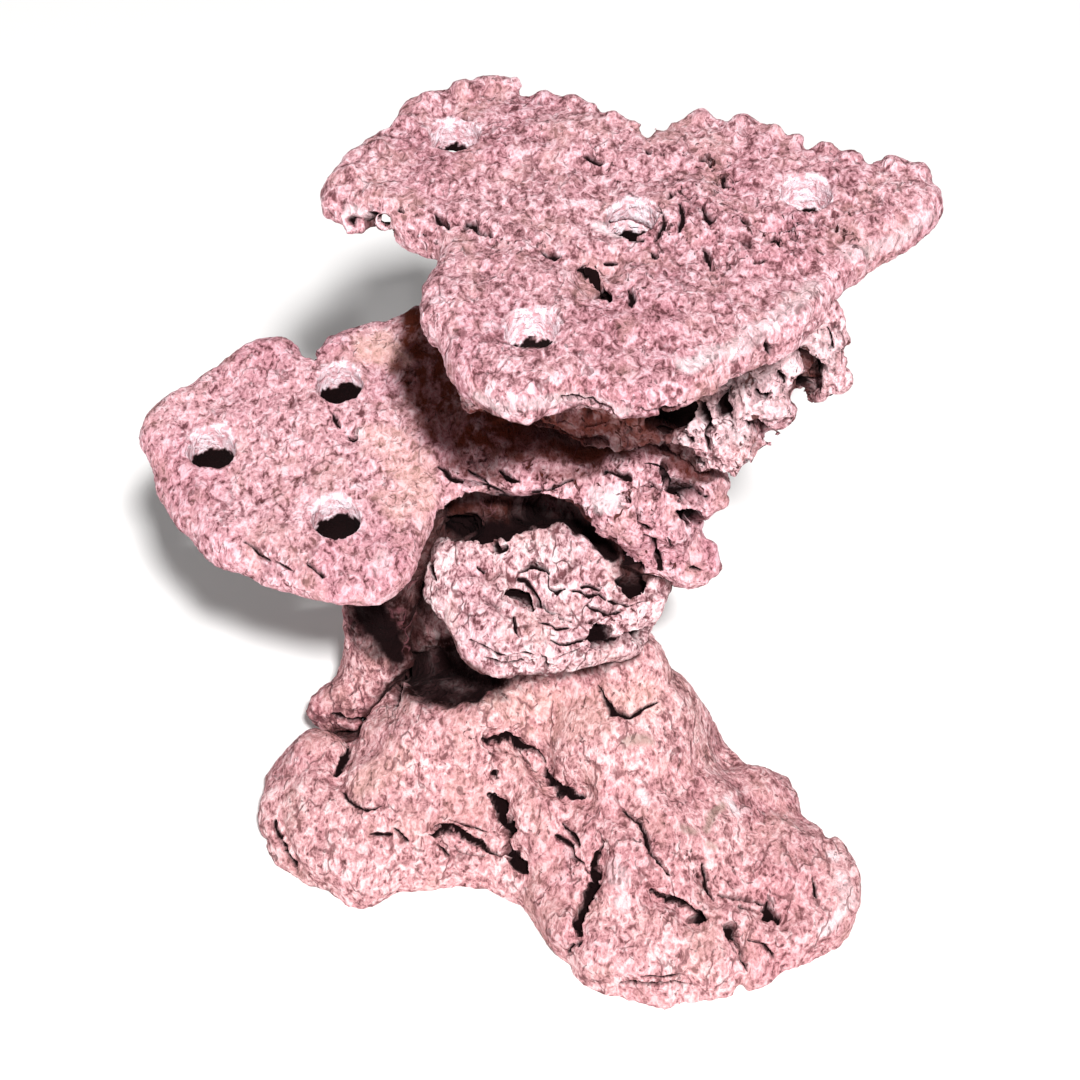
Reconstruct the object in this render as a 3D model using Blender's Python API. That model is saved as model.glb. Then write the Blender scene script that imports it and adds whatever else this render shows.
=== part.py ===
"""Frag rock tower for a reef aquarium.

Six pieces of porous reef rock are bonded in a stack: a lobed foot, a rear prop, a lower ledge, a wide
side shelf, a pillar and a top shelf. The two shelves are drilled to hold coral frag plugs.

Run it with: blender --background --python part.py

The sizes are millimetres, which MM turns to metres. +Z is up and -Y is the front, where the foot
spreads widest. While the rocks are shaped, X and Y are counted from the pillar. At the end the whole
tower is moved so that its origin is the centre of its bounding box, on the ground.
"""

import math

import bmesh
import bpy
from mathutils import Matrix, Vector, noise
from mathutils.geometry import intersect_point_line

MM = 0.001

# Driving dimensions
PLUG_BORE = 13.5  # takes the common half-inch stem of a frag plug
BORE_SIDES = 18
BOND_GAP = 0.3  # between two rocks where they are bonded
TOP_SHELF_MIDDLE = 190.5  # height of the slab's middle plane
TOP_SHELF_THICK = 12.5
SIDE_SHELF_MIDDLE = 108.0
SIDE_SHELF_THICK = 10.5
SIDE_SHELF_SLOPE = 0.14  # rise per millimetre towards the back
SIDE_SHELF_PIVOT = 15.0  # the Y where the slope meets the middle height
LEDGE_MIDDLE = 80.5
LEDGE_THICK = 13.0
LEDGE_SLOPE = 0.42
LEDGE_PIVOT = 12.0
FOOT_RIM = 15.0  # thickness of the foot's spreading rim

# How the surface is worked
VOXEL = 2.0
SMOOTH_PASSES = 3

# Outlines from above, clockwise from the left tip: X and Y in millimetres
TOP_OUTLINE = [
    (-60, 29), (-55, 43), (-42, 60), (-37, 71), (-23, 77), (-17, 82), (-6, 82), (-3, 74), (4, 76),
    (11, 72), (19, 65), (26, 61), (30, 53), (38, 62), (46, 65), (50, 60), (57, 63), (66, 57),
    (73, 50), (80, 52), (87, 44), (96, 45), (103, 41), (107, 29), (97, 15), (81, 0), (71, -16),
    (62, -27), (50, -36), (40, -45), (24, -52), (9, -46), (-2, -53), (-9, -51), (-21, -41),
    (-25, -28), (-31, -18), (-31, -6), (-26, 8), (-37, 17), (-50, 24),
]
SIDE_OUTLINE = [
    (-114, 23), (-112, 33), (-104, 43), (-86, 58), (-75, 61), (-69, 58), (-66, 54), (-61, 62),
    (-45, 70), (-22, 76), (5, 69), (30, 56), (48, 40), (52, 20), (49, 4), (39, -2), (24, -3),
    (12, 2), (0, 6), (-9, 8), (-17, 9), (-24, 4), (-29, -4), (-33, -15), (-36, -25), (-43, -31),
    (-55, -31), (-66, -27), (-80, -21), (-93, -13), (-98, -4), (-106, 9),
]
LEDGE_OUTLINE = [
    (-35, 5), (-32, -2), (-27, -8), (-25, -15), (-20, -20), (-10, -23), (6, -23), (15, -20),
    (24, -13), (32, -9), (35, -3), (38, 4), (37, 16), (22, 22), (0, 22), (-22, 17),
]
FOOT_OUTLINE = [
    (-82, -30), (-79, -7), (-61, 2), (-50, 20), (-27, 36), (3, 44), (28, 39), (43, 22), (53, 5),
    (63, -10), (75, -17), (79, -32), (88, -39), (92, -53), (87, -68), (76, -77), (57, -82),
    (45, -86), (35, -93), (22, -88), (12, -83), (6, -76), (-2, -62), (-10, -49), (-35, -49),
    (-50, -57), (-62, -51), (-73, -45),
]

# Lumps that are fused to make each rock: centre X, Y, Z and radius X, Y, Z in millimetres
FOOT_LUMPS = [
    (4, 14, 26, 32, 26, 32),  # neck
    (2, 20, 8, 38, 25, 30),  # back
    (-26, 24, 28, 19, 16, 30),  # left back, beside the prop
    (24, -12, 12, 29, 32, 35),  # right shoulder
    (32, -40, 6, 33, 34, 27),  # right shin
    (40, -64, 2, 35, 26, 19),  # right toe
    (66, -50, 2, 23, 26, 18),  # outer right toe
    (61, -24, 4, 16, 14, 16),  # right heel
    (-22, -8, 10, 33, 30, 33),  # left shoulder
    (-40, -26, 6, 31, 26, 23),  # left shin
    (-57, -25, 2, 24, 24, 21),  # left toe
    (0, -32, 6, 20, 23, 24),  # web between the toes
    (-66, -12, 9, 12, 12, 15),  # left heel
    (24, -4, 44, 12, 12, 13),  # boss on the neck
]
PROP_LUMPS = [
    (-47, 18, 22, 13, 15, 22),  # root
    (-47, 21, 46, 12, 13, 26),  # stem
    (-41, 26, 84, 15, 16, 30),  # head, under the shelf
    (-57, 7, 18, 12, 9, 10),  # knob
    (-49, 10, 12, 14, 12, 12),  # toe
]
LEDGE_LUMPS = [
    (8, 20, 66, 33, 19, 20),  # core on the foot's neck
    (12, 0, 64, 22, 17, 14),  # underside
    (28, 2, 70, 9, 10, 9),  # right end
    (-6, -4, 72, 23, 17, 9),  # belly
    (-16, 34, 78, 20, 14, 26),  # back wall of the cave
]
SIDE_LUMPS = [
    (-4, 34, 108, 42, 34, 10),  # root of the shelf
    (30, 14, 104, 22, 22, 16),  # shoulder
    (34, 10, 88, 14, 14, 18),  # leg
    (43, 2, 84, 8, 8, 7),  # lower horn
    (47, 8, 108, 7, 9, 7),  # upper horn
    (18, 3, 103, 9, 7, 8),  # brow over the cave
    (-44, 24, 101, 20, 20, 6),  # boss over the prop
    (-84, 16, 103.5, 26, 26, 8.5),  # thick part under each bore
    (-58, 38, 106, 22, 20, 8.5),
    (-57, -4, 101.5, 20, 20, 8.5),
]
PILLAR_LUMPS = [
    (18, 32, 126, 36, 24, 24),  # root
    (26, 30, 158, 42, 28, 34),  # shaft
    (-8, 32, 152, 20, 20, 36),  # left buttress
    (45, 8, 128, 12, 12, 15),  # right root
    (53, 4, 124, 8, 8, 9),  # right heel
    (55, 10, 142, 13, 14, 19),  # right bracket
    (65, 8, 162, 13, 12, 22),  # right bracket head
    (76, 3, 161, 6, 8, 17),  # ear
    (22, 18, 178, 48, 32, 13),  # head
    (-17, 17, 138, 7, 8, 15),  # nub
]
TOP_LUMPS = [
    (26, 16, 185, 46, 34, 9),  # thick middle
    (38, 20, 195, 12, 17, 4),  # crescent boss
    (60, 8, 194, 20, 14, 5),  # coral-pitted swell
    (-48, 23, 187, 6, 4, 3),  # lip under the left tip
    (6, 46, 193, 36, 22, 5),  # back swell
]

# Hollows taken out of each rock, given in the same way
SLOT = (39, -1, 122, 4.5, 12, 9)  # the deep slot where the pillar meets the side shelf
LEDGE_HOLLOWS = [
    (-5, -6, 83, 6, 4, 5),  # lens-shaped hole in the face
    (26, -2, 82, 4.5, 8, 4),  # side hole
    (20, -19, 73, 5, 8, 4),  # notch under the right end
]
SIDE_HOLLOWS = [
    SLOT,
    (43, -6, 103, 4, 9, 5),  # upper pocket
    (47, -4, 95, 6, 9, 5),  # gap between the horns
    (30, -6, 112, 3.5, 8, 4),  # small pocket
]
PILLAR_HOLLOWS = [
    SLOT,
    (70, -2, 150, 4, 12, 6),  # gap beside the ear
    (50, -8, 144, 3, 12, 6),  # fissure
    (60, -6, 134, 4, 8, 3),  # ledge under the bracket
    (4, 4, 130, 22, 9, 7),  # undercut on the front
]
TOP_HOLLOWS = [
    (-44, 20, 187, 7, 7, 3),  # split under the left tip
    (18, -1, 199, 3, 6, 6),  # pits in the worn patch
    (48, 2, 200, 2.5, 5, 6),
    (61, 14, 199, 6, 3, 5),
    (83, 22, 199, 4, 3, 5),
]

# Cracks in the worn surface: the points that each one passes through
CRACK_WIDTH = 3.0
CRACK_DEPTH = 4.5
FOOT_CRACKS = [
    [(16, -56, 25), (15, -63, 21), (12, -66, 17), (10, -78, 15)],  # between shin and web
    [(0, -27, 29), (2, -32, 29), (6, -34, 27), (13, -37, 28)],  # crescent under the neck
    [(-14, -34, 24), (-11, -42, 22), (-10, -47, 17), (-6, -51, 14)],  # down the web
    [(-28, -43, 20), (-19, -44, 15), (-13, -46, 16)],
    [(31, -67, 22), (36, -68, 20), (41, -72, 19), (44, -76, 17)],  # across the right toe
    [(-15, -23, 37), (-10, -22, 35), (-3, -22, 32), (-1, -24, 29)],
    [(-56, -11, 22), (-59, -25, 23)],  # across the left toe
    [(-77, -35, 13), (-75, -41, 10), (-71, -47, 7)],
]
TOP_CRACKS = [[(13, -3, 197), (11, -7, 197), (15, -12, 197)]]

# Centres of the plug bores
TOP_PLUGS = [(-23, 53), (24, 17), (70, 27), (-2, -27)]
SIDE_PLUGS = [(-92, 18), (-57, 41), (-56, -7)]
PILLAR_PLUGS = [(24, 17), (70, 27)]  # top shelf bores that run on into the pillar
PILLAR_PLUG_FLOOR = 172.0

# The base colour, roughness and seed of each rock's material
ROCKS = {
    "foot_rock": ((0.80, 0.46, 0.46), 11),
    "rear_prop_rock": ((0.70, 0.38, 0.40), 23),
    "ledge_rock": ((0.78, 0.48, 0.50), 37),
    "side_shelf_rock": ((0.76, 0.44, 0.47), 41),
    "pillar_rock": ((0.66, 0.34, 0.36), 59),
    "top_shelf_rock": ((0.74, 0.42, 0.46), 67),
}
ROUGHNESS = 0.95


def clear_scene():
    """Remove whatever the scene starts with."""
    for obj in list(bpy.data.objects):
        bpy.data.objects.remove(obj)


def smooth_outline(points, steps=3):
    """A closed curve through the points, with a few steps between each two."""
    count = len(points)
    curve = []
    for i in range(count):
        p0, p1, p2, p3 = (Vector(points[(i + k) % count]) for k in (-1, 0, 1, 2))
        for step in range(steps):
            t = step / steps
            pull = (p2 - p0) * t + (2 * p0 - 5 * p1 + 4 * p2 - p3) * t**2 + (3 * p1 - p0 - 3 * p2 + p3) * t**3
            curve.append(p1 + pull / 2)
    return curve


def add_slab(bm, outline, middle, thick, slope=0.0, pivot=0.0, round_over=4.0):
    """A slab with rounded rims between middle - thick/2 and middle + thick/2, rising along Y by slope."""
    low = middle - thick / 2
    ring = [bm.verts.new((p.x, p.y, low + slope * (p.y - pivot))) for p in smooth_outline(outline)]
    face = bm.faces.new(ring)
    face.normal_update()
    if face.normal.z > 0:
        face.normal_flip()
    raised = bmesh.ops.extrude_face_region(bm, geom=[face], use_keep_orig=True)["geom"]
    top = [item for item in raised if isinstance(item, bmesh.types.BMVert)]
    bmesh.ops.translate(bm, vec=(0, 0, thick), verts=top)
    rims = [edge for edge in bm.edges if edge.is_valid and edge.verts[0] in top and edge.verts[1] in top]
    rims += [edge for edge in face.edges]
    bmesh.ops.bevel(
        bm, geom=rims, offset=round_over, segments=2, profile=0.5, affect="EDGES", material=-1, clamp_overlap=False
    )


def add_lumps(bm, lumps):
    """Overlapping ellipsoids."""
    for x, y, z, rx, ry, rz in lumps:
        place = Matrix.LocRotScale(Vector((x, y, z)), None, Vector((rx, ry, rz)))
        bmesh.ops.create_icosphere(bm, subdivisions=3, radius=1.0, matrix=place)


def object_of(name, bm):
    """A linked object holding the bmesh, which is freed."""
    mesh = bpy.data.meshes.new(name)
    bm.to_mesh(mesh)
    bm.free()
    obj = bpy.data.objects.new(name, mesh)
    bpy.context.scene.collection.objects.link(obj)
    return obj


def bake(obj):
    """Replace the mesh by what its modifiers make of it."""
    graph = bpy.context.evaluated_depsgraph_get()
    made = bpy.data.meshes.new_from_object(obj.evaluated_get(graph))
    obj.modifiers.clear()
    old = obj.data
    obj.data = made
    bpy.data.meshes.remove(old)


def subtract(obj, cutter):
    """Cut the cutter out of the object, and remove the cutter."""
    cut = obj.modifiers.new("cut", "BOOLEAN")
    cut.operation = "DIFFERENCE"
    cut.solver = "EXACT"
    cut.object = cutter
    cutter.hide_render = True
    cutter.display_type = "WIRE"
    bake(obj)
    bpy.data.objects.remove(cutter)


def weathering(place, seed):
    """Height of the worn surface at a place: broad swells, middling lumps and small pits."""
    where = place + Vector((seed * 7.3, seed * 3.1, seed * 5.7))
    swell = noise.noise(where / 26.0) * 2.4
    knobs = noise.noise(where / 10.0) * 1.7
    near = noise.voronoi(where / 7.5, distance_metric="DISTANCE")[0][0]
    return swell + knobs - 1.3 * max(0.0, 0.42 - near) / 0.42


def crack_depth(place, cracks):
    """How deep the surface is cracked at a place."""
    nearest = CRACK_WIDTH
    for crack in cracks:
        for start, end in zip(crack, crack[1:]):
            along = intersect_point_line(place, start, end)[1]
            on_line = Vector(start).lerp(Vector(end), min(1.0, max(0.0, along)))
            nearest = min(nearest, (place - on_line).length)
    return CRACK_DEPTH * (1 - nearest / CRACK_WIDTH)


def skin(obj, smooth_passes):
    """Turn overlapping or cut shapes into one closed skin of even faces."""
    cover = obj.modifiers.new("cover", "REMESH")
    cover.mode = "VOXEL"
    cover.voxel_size = VOXEL
    soften = obj.modifiers.new("soften", "SMOOTH")
    soften.factor = 0.5
    soften.iterations = smooth_passes
    bake(obj)


def shaped(name, bm, seed, triangles, hollows=(), cracks=(), calm=1.0):
    """Fuse the overlapping shapes into one rock, wear its surface and thin it to a number of triangles."""
    obj = object_of(name, bm)
    skin(obj, SMOOTH_PASSES)
    for hollow in hollows:
        carve = bmesh.new()
        add_lumps(carve, [hollow])
        subtract(obj, object_of("hollow", carve))
    if hollows:
        skin(obj, 1)
    moves = [
        vert.normal * (weathering(vert.co, seed) * calm - crack_depth(vert.co, cracks)) for vert in obj.data.vertices
    ]
    for vert, move in zip(obj.data.vertices, moves):
        vert.co += move
    thin = obj.modifiers.new("thin", "DECIMATE")
    thin.ratio = triangles / (2 * len(obj.data.polygons))
    thin.use_collapse_triangulate = True
    bake(obj)
    return obj


def grown(obj):
    """A copy of a rock, larger all round by the bond's gap, for cutting its neighbour to fit."""
    bm = bmesh.new()
    bm.from_mesh(obj.data)
    bmesh.ops.recalc_face_normals(bm, faces=bm.faces)
    bm.normal_update()
    moves = [vert.normal * BOND_GAP for vert in bm.verts]
    for vert, move in zip(bm.verts, moves):
        vert.co += move
    return object_of("neighbour", bm)


def keep_rock(obj):
    """Drop the crumbs that a cut has left beside the rock."""
    bm = bmesh.new()
    bm.from_mesh(obj.data)
    left = set(bm.verts)
    rocks = []
    while left:
        rock = {left.pop()}
        edge = list(rock)
        while edge:
            near = {link.other_vert(vert) for vert in edge for link in vert.link_edges} - rock
            rock |= near
            edge = list(near)
        left -= rock
        rocks.append(rock)
    rocks.sort(key=len)
    crumbs = [vert for rock in rocks[:-1] for vert in rock]
    bmesh.ops.delete(bm, geom=crumbs, context="VERTS")
    bm.to_mesh(obj.data)
    bm.free()


def level(obj):
    """Cut the rock off flat at the ground."""
    ground = bmesh.new()
    place = Matrix.LocRotScale(Vector((0, 0, -50)), None, Vector((300, 300, 100)))
    bmesh.ops.create_cube(ground, size=1.0, matrix=place)
    subtract(obj, object_of("ground", ground))


def drill(obj, centres, low=60.0):
    """Upright bores for plug stems, down to a height that is below a shelf or inside the pillar."""
    high = 240.0
    bm = bmesh.new()
    for x, y in centres:
        bmesh.ops.create_cone(
            bm,
            cap_ends=True,
            segments=BORE_SIDES,
            radius1=PLUG_BORE / 2,
            radius2=PLUG_BORE / 2,
            depth=high - low,
            matrix=Matrix.Translation((x, y, (low + high) / 2)),
        )
    subtract(obj, object_of("bores", bm))


def make_foot():
    bm = bmesh.new()
    add_slab(bm, FOOT_OUTLINE, FOOT_RIM / 2 - 4, FOOT_RIM + 8, round_over=6.0)
    add_lumps(bm, FOOT_LUMPS)
    rock = shaped("foot_rock", bm, ROCKS["foot_rock"][1], 2600, cracks=FOOT_CRACKS)
    level(rock)
    return rock


def make_ledge(foot):
    bm = bmesh.new()
    add_slab(bm, LEDGE_OUTLINE, LEDGE_MIDDLE, LEDGE_THICK, LEDGE_SLOPE, LEDGE_PIVOT)
    add_lumps(bm, LEDGE_LUMPS)
    rock = shaped("ledge_rock", bm, ROCKS["ledge_rock"][1], 900, LEDGE_HOLLOWS)
    subtract(rock, grown(foot))
    return rock


def make_side_shelf(ledge):
    bm = bmesh.new()
    add_slab(bm, SIDE_OUTLINE, SIDE_SHELF_MIDDLE, SIDE_SHELF_THICK, SIDE_SHELF_SLOPE, SIDE_SHELF_PIVOT)
    add_lumps(bm, SIDE_LUMPS)
    rock = shaped("side_shelf_rock", bm, ROCKS["side_shelf_rock"][1], 1600, SIDE_HOLLOWS, calm=0.7)
    subtract(rock, grown(ledge))
    drill(rock, SIDE_PLUGS)
    return rock


def make_prop(foot, ledge, side_shelf):
    bm = bmesh.new()
    add_lumps(bm, PROP_LUMPS)
    rock = shaped("rear_prop_rock", bm, ROCKS["rear_prop_rock"][1], 480)
    subtract(rock, grown(foot))
    subtract(rock, grown(ledge))
    subtract(rock, grown(side_shelf))
    level(rock)
    return rock


def make_pillar(side_shelf):
    bm = bmesh.new()
    add_lumps(bm, PILLAR_LUMPS)
    rock = shaped("pillar_rock", bm, ROCKS["pillar_rock"][1], 1170, PILLAR_HOLLOWS, calm=1.3)
    subtract(rock, grown(side_shelf))
    drill(rock, PILLAR_PLUGS, PILLAR_PLUG_FLOOR)
    return rock


def make_top_shelf(pillar):
    bm = bmesh.new()
    add_slab(bm, TOP_OUTLINE, TOP_SHELF_MIDDLE, TOP_SHELF_THICK)
    add_lumps(bm, TOP_LUMPS)
    rock = shaped("top_shelf_rock", bm, ROCKS["top_shelf_rock"][1], 1580, TOP_HOLLOWS, TOP_CRACKS, calm=0.6)
    subtract(rock, grown(pillar))
    drill(rock, TOP_PLUGS)
    return rock


def finish(rocks):
    """Scale to metres, put the origin under the middle of the tower, and give each rock its material."""
    corners = [vert.co for rock in rocks for vert in rock.data.vertices]
    low = Vector(map(min, zip(*corners)))
    high = Vector(map(max, zip(*corners)))
    to_origin = Matrix.Translation((-(low.x + high.x) / 2, -(low.y + high.y) / 2, -low.z))
    for rock in rocks:
        rock.data.transform(Matrix.Scale(MM, 4) @ to_origin)
        rock.data.shade_smooth()
        rock.data.set_sharp_from_angle(angle=math.radians(40))
        material = bpy.data.materials.new(rock.name)
        material.use_nodes = True
        shader = material.node_tree.nodes["Principled BSDF"]
        shader.inputs["Base Color"].default_value = (*ROCKS[rock.name][0], 1.0)
        shader.inputs["Roughness"].default_value = ROUGHNESS
        shader.inputs["Metallic"].default_value = 0.0
        rock.data.materials.clear()
        rock.data.materials.append(material)


def make_rocks():
    """Every rock of the tower, cut to fit its neighbours."""
    foot = make_foot()
    ledge = make_ledge(foot)
    side_shelf = make_side_shelf(ledge)
    prop = make_prop(foot, ledge, side_shelf)
    pillar = make_pillar(side_shelf)
    top_shelf = make_top_shelf(pillar)
    rocks = [foot, prop, ledge, side_shelf, pillar, top_shelf]
    for rock in rocks:
        keep_rock(rock)
    return rocks


def main():
    clear_scene()
    finish(make_rocks())


if __name__ == "__main__":
    main()
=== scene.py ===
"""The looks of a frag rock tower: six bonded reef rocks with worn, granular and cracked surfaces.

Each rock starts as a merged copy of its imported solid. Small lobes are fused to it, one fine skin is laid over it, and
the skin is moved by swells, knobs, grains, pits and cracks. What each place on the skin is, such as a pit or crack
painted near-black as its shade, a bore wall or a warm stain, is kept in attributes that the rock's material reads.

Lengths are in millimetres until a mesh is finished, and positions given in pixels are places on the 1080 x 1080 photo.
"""

from __future__ import annotations

import logging
import math
from dataclasses import dataclass
from enum import Enum
from typing import Any, Iterable, Sequence

import bmesh
import bpy
import numpy as np
from mathutils import Matrix, Vector, noise
from mathutils.bvhtree import BVHTree
from mathutils.kdtree import KDTree

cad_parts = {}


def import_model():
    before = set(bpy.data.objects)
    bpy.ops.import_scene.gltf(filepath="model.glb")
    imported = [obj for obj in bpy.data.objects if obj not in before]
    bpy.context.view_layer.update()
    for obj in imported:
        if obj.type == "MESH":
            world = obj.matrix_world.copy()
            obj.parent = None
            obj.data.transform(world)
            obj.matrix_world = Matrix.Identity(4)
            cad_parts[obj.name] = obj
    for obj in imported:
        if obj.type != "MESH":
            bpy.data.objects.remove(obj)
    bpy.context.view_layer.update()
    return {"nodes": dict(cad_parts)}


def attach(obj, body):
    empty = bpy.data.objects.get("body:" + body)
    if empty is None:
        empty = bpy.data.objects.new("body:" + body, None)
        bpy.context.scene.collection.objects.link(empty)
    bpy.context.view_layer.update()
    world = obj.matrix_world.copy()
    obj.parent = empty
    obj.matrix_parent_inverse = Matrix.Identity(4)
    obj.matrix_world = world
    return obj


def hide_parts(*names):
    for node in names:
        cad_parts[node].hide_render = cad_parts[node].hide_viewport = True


LOG = logging.getLogger("frag_rock_tower")
MM = 0.001
NOISE_SEED = 8  # without one, the vector noises differ from run to run
Pixel = tuple[float, float]
Triple = tuple[float, float, float]


# ---------------------------------------------------------------- the photo's view


@dataclass(frozen=True)
class PhotoView:
    """Where the photo was taken from, in millimetres: in front of the tower, looking down at it."""

    target: Triple = (3.27, 4.89, 95.0)
    distance: float = 850.0
    elevation_deg: float = 45.0
    mm_per_pixel: float = 0.28
    frame_pixels: int = 1080
    sensor: float = 36.0

    def back(self) -> Vector:
        """The direction from the target to the camera."""
        up = math.radians(self.elevation_deg)
        return Vector((0.0, -math.cos(up), math.sin(up)))

    def eye(self) -> Vector:
        """The camera's place."""
        return Vector(self.target) + self.back() * self.distance

    def towards(self, pixel: Pixel) -> Vector:
        """The direction in which a pixel of the photo is seen.

        Args:
            pixel: X and Y in the photo, from its top left corner.

        Returns:
            A unit vector away from the camera.
        """
        middle = self.frame_pixels / 2
        right = Vector((1.0, 0.0, 0.0))
        up = self.back().cross(right)
        across = right * (pixel[0] - middle) * self.mm_per_pixel + up * (middle - pixel[1]) * self.mm_per_pixel
        return (across - self.back() * self.distance).normalized()

    def spots(self, pixels: Sequence[Pixel]) -> np.ndarray:
        """Where pixels lie on the plane that the photo shows through the target, across and up."""
        middle = self.frame_pixels / 2
        return np.array([(x - middle, middle - y) for x, y in pixels]) * self.mm_per_pixel

    def flat(self, points: np.ndarray) -> np.ndarray:
        """Where points are seen on that plane.

        Args:
            points: one row of X, Y and Z for each.

        Returns:
            One row of across and up for each.
        """
        back = np.array(self.back())
        right = np.array((1.0, 0.0, 0.0))
        away = points - np.array(self.eye())
        seen = np.stack([away @ right, away @ np.cross(back, right)], axis=1)
        return seen * (self.distance / -(away @ back))[:, None]

    def landing(self, pixel: Pixel, tree: BVHTree) -> tuple[Vector, Vector]:
        """The place on a surface that a pixel shows, or the nearest to it.

        Args:
            pixel: X and Y in the photo.
            tree: the surface.

        Returns:
            The place and the surface's normal there.
        """
        eye, way = self.eye(), self.towards(pixel)
        place, normal, _, _ = tree.ray_cast(eye, way)
        if place is None:
            tries = [tree.find_nearest(eye + way * distance) for distance in range(650, 1050, 5)]
            place, normal, _, _ = min(tries, key=lambda found: found[3])
        return place, normal

    def add_camera(self) -> bpy.types.Object:
        """Put the camera there and make it the scene's.

        Returns:
            The camera's object.
        """
        data = bpy.data.cameras.new("photo_camera")
        data.sensor_width = self.sensor
        data.lens = self.sensor * self.distance / (self.frame_pixels * self.mm_per_pixel)
        data.clip_start = 0.05
        data.clip_end = 50.0
        camera = bpy.data.objects.new("photo_camera", data)
        camera.location = self.eye() * MM
        camera.rotation_euler = (-self.back()).to_track_quat("-Z", "Y").to_euler()
        bpy.context.scene.collection.objects.link(camera)
        bpy.context.scene.camera = camera
        return camera


VIEW = PhotoView()


# ---------------------------------------------------------------- what is marked on a rock


class Mark(Enum):
    """What a patch is: the name is that of the attribute that keeps it."""

    WARM = "warm"
    # whitish patches, partly painted highlight where rims catch the light
    PALE_AND_HIGHLIGHT = "pale_and_highlight"
    GREY = "grey"
    # brownish stain, partly painted shade under rims and in recesses
    BROWN = "brown_stain_and_shade"
    ROUGH = "rough"


@dataclass(frozen=True)
class Crack:
    """A crack, or a pit where the path has one point."""

    path: tuple[Pixel, ...]
    width: float = 1.3  # from its middle to its lip
    depth: float = 3.0
    valley: float = 0.9  # how far the rock dips towards it
    dark: float = 1.0  # how black its inside is painted, as its shade


@dataclass(frozen=True)
class Notch:
    """A gap worn through a rock's edge, along the photo's line of sight."""

    at: Pixel
    radius: float = 1.2
    depth: float = 34.0


@dataclass(frozen=True)
class Patch:
    """A patch of another colour or roughness along a path."""

    mark: Mark
    path: tuple[Pixel, ...]
    radius: float
    strength: float = 1.0


@dataclass(frozen=True)
class Lobe:
    """A small rounded lump that stands out of a rock."""

    at: Pixel
    radius: float = 4.5
    out: float = 1.4


@dataclass(frozen=True)
class Bore:
    """An upright bore for a plug stem."""

    x: float
    y: float
    bright: float  # how far down its wall is clean and whitish, before its painted shade starts
    radius: float = 6.75
    bottom: float = 0.0  # the height at which it ends


@dataclass(frozen=True)
class Relief:
    """How far the skin stands out and sinks, in millimetres, and how far apart its features are."""

    swell: float = 0.8
    swell_size: float = 15.0
    knob: float = 0.7
    knob_size: float = 4.6
    grain: float = 0.35
    grain_size: float = 2.2
    pit: float = 2.6
    pit_size: float = 9.0
    pit_share: float = 0.14
    small_pit: float = 0.8  # beside the others' depth, for those that only rough rock has
    smaller: float = 2.2  # how many times they are smaller
    small_pit_share: float = 0.45
    ragged: float = 1.3  # how far a pit's edge is pulled about
    ragged_size: float = 2.6
    crumb: float = 1.5  # crevices between crumbs, where the rock is rough
    crumb_size: float = 3.4
    twist: float = 1.4  # how far a crevice winds
    twist_size: float = 2.4
    break_size: float = 4.0  # how long its stretches are
    flake: float = 0.0  # ridges of flaky layers
    flake_size: float = 7.0


WIDE = 3.0  # a crack this wide shows well enough on the skin as it is laid
LIP = 1.4  # the skin is finer as far as this beside a crack
RIM = 1.5  # and as far as this on both sides of a bore's rim
RIM_DEPTH = 12.0  # under the rock's highest point
VALLEY_REACH = 5.0  # how far the dip beside a crack goes
MOST_DIP = 1.6
EVEN = 0.02  # rock this little rough has no crevices
CRUMBLY = 0.2  # rock rougher than this has small pits too
START_DARK, DARK_SPAN = 0.74, 0.2  # how closed in a place is where its painted shade starts, and until it is full
CRACK_BEND, CRACK_GRAIN = 6.5, 2.4  # the size of a crack's bends, and of the teeth on its edge
CRACK_END = 0.45  # how wide and deep a crack is at its ends, beside its middle
BORE_REACH = 3.5  # how far outside its edge a bore may change the skin
PALE_OUT, PALE_BEHIND, PALE_RAGGED = 0.5, 1.6, 1.3  # how far the whitish wall passes a bore's edge, how much further behind the bore as painted light on its lit far side, and how unevenly
DARK_SLANT, DARK_RAGGED = 1.2, 2.2  # how much higher the painted shade of a bore starts on its right, the side in shade, and how unevenly


def smooth(values: np.ndarray) -> np.ndarray:
    """Ease numbers from 0 to 1 in and out.

    Args:
        values: any numbers.

    Returns:
        The eased numbers, from 0 to 1.
    """
    held = np.clip(values, 0, 1)
    return held * held * (3 - 2 * held)


# ---------------------------------------------------------------- finishes


def linear(hex_colour: str) -> tuple[float, float, float, float]:
    """Turn an sRGB hex colour into a linear one.

    Args:
        hex_colour: such as "d8a3ae".

    Returns:
        Linear red, green and blue, and an alpha of 1.
    """
    parts = [int(hex_colour[i : i + 2], 16) / 255 for i in (0, 2, 4)]
    red, green, blue = (c / 12.92 if c <= 0.04045 else ((c + 0.055) / 1.055) ** 2.4 for c in parts)
    return red, green, blue, 1.0


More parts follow.
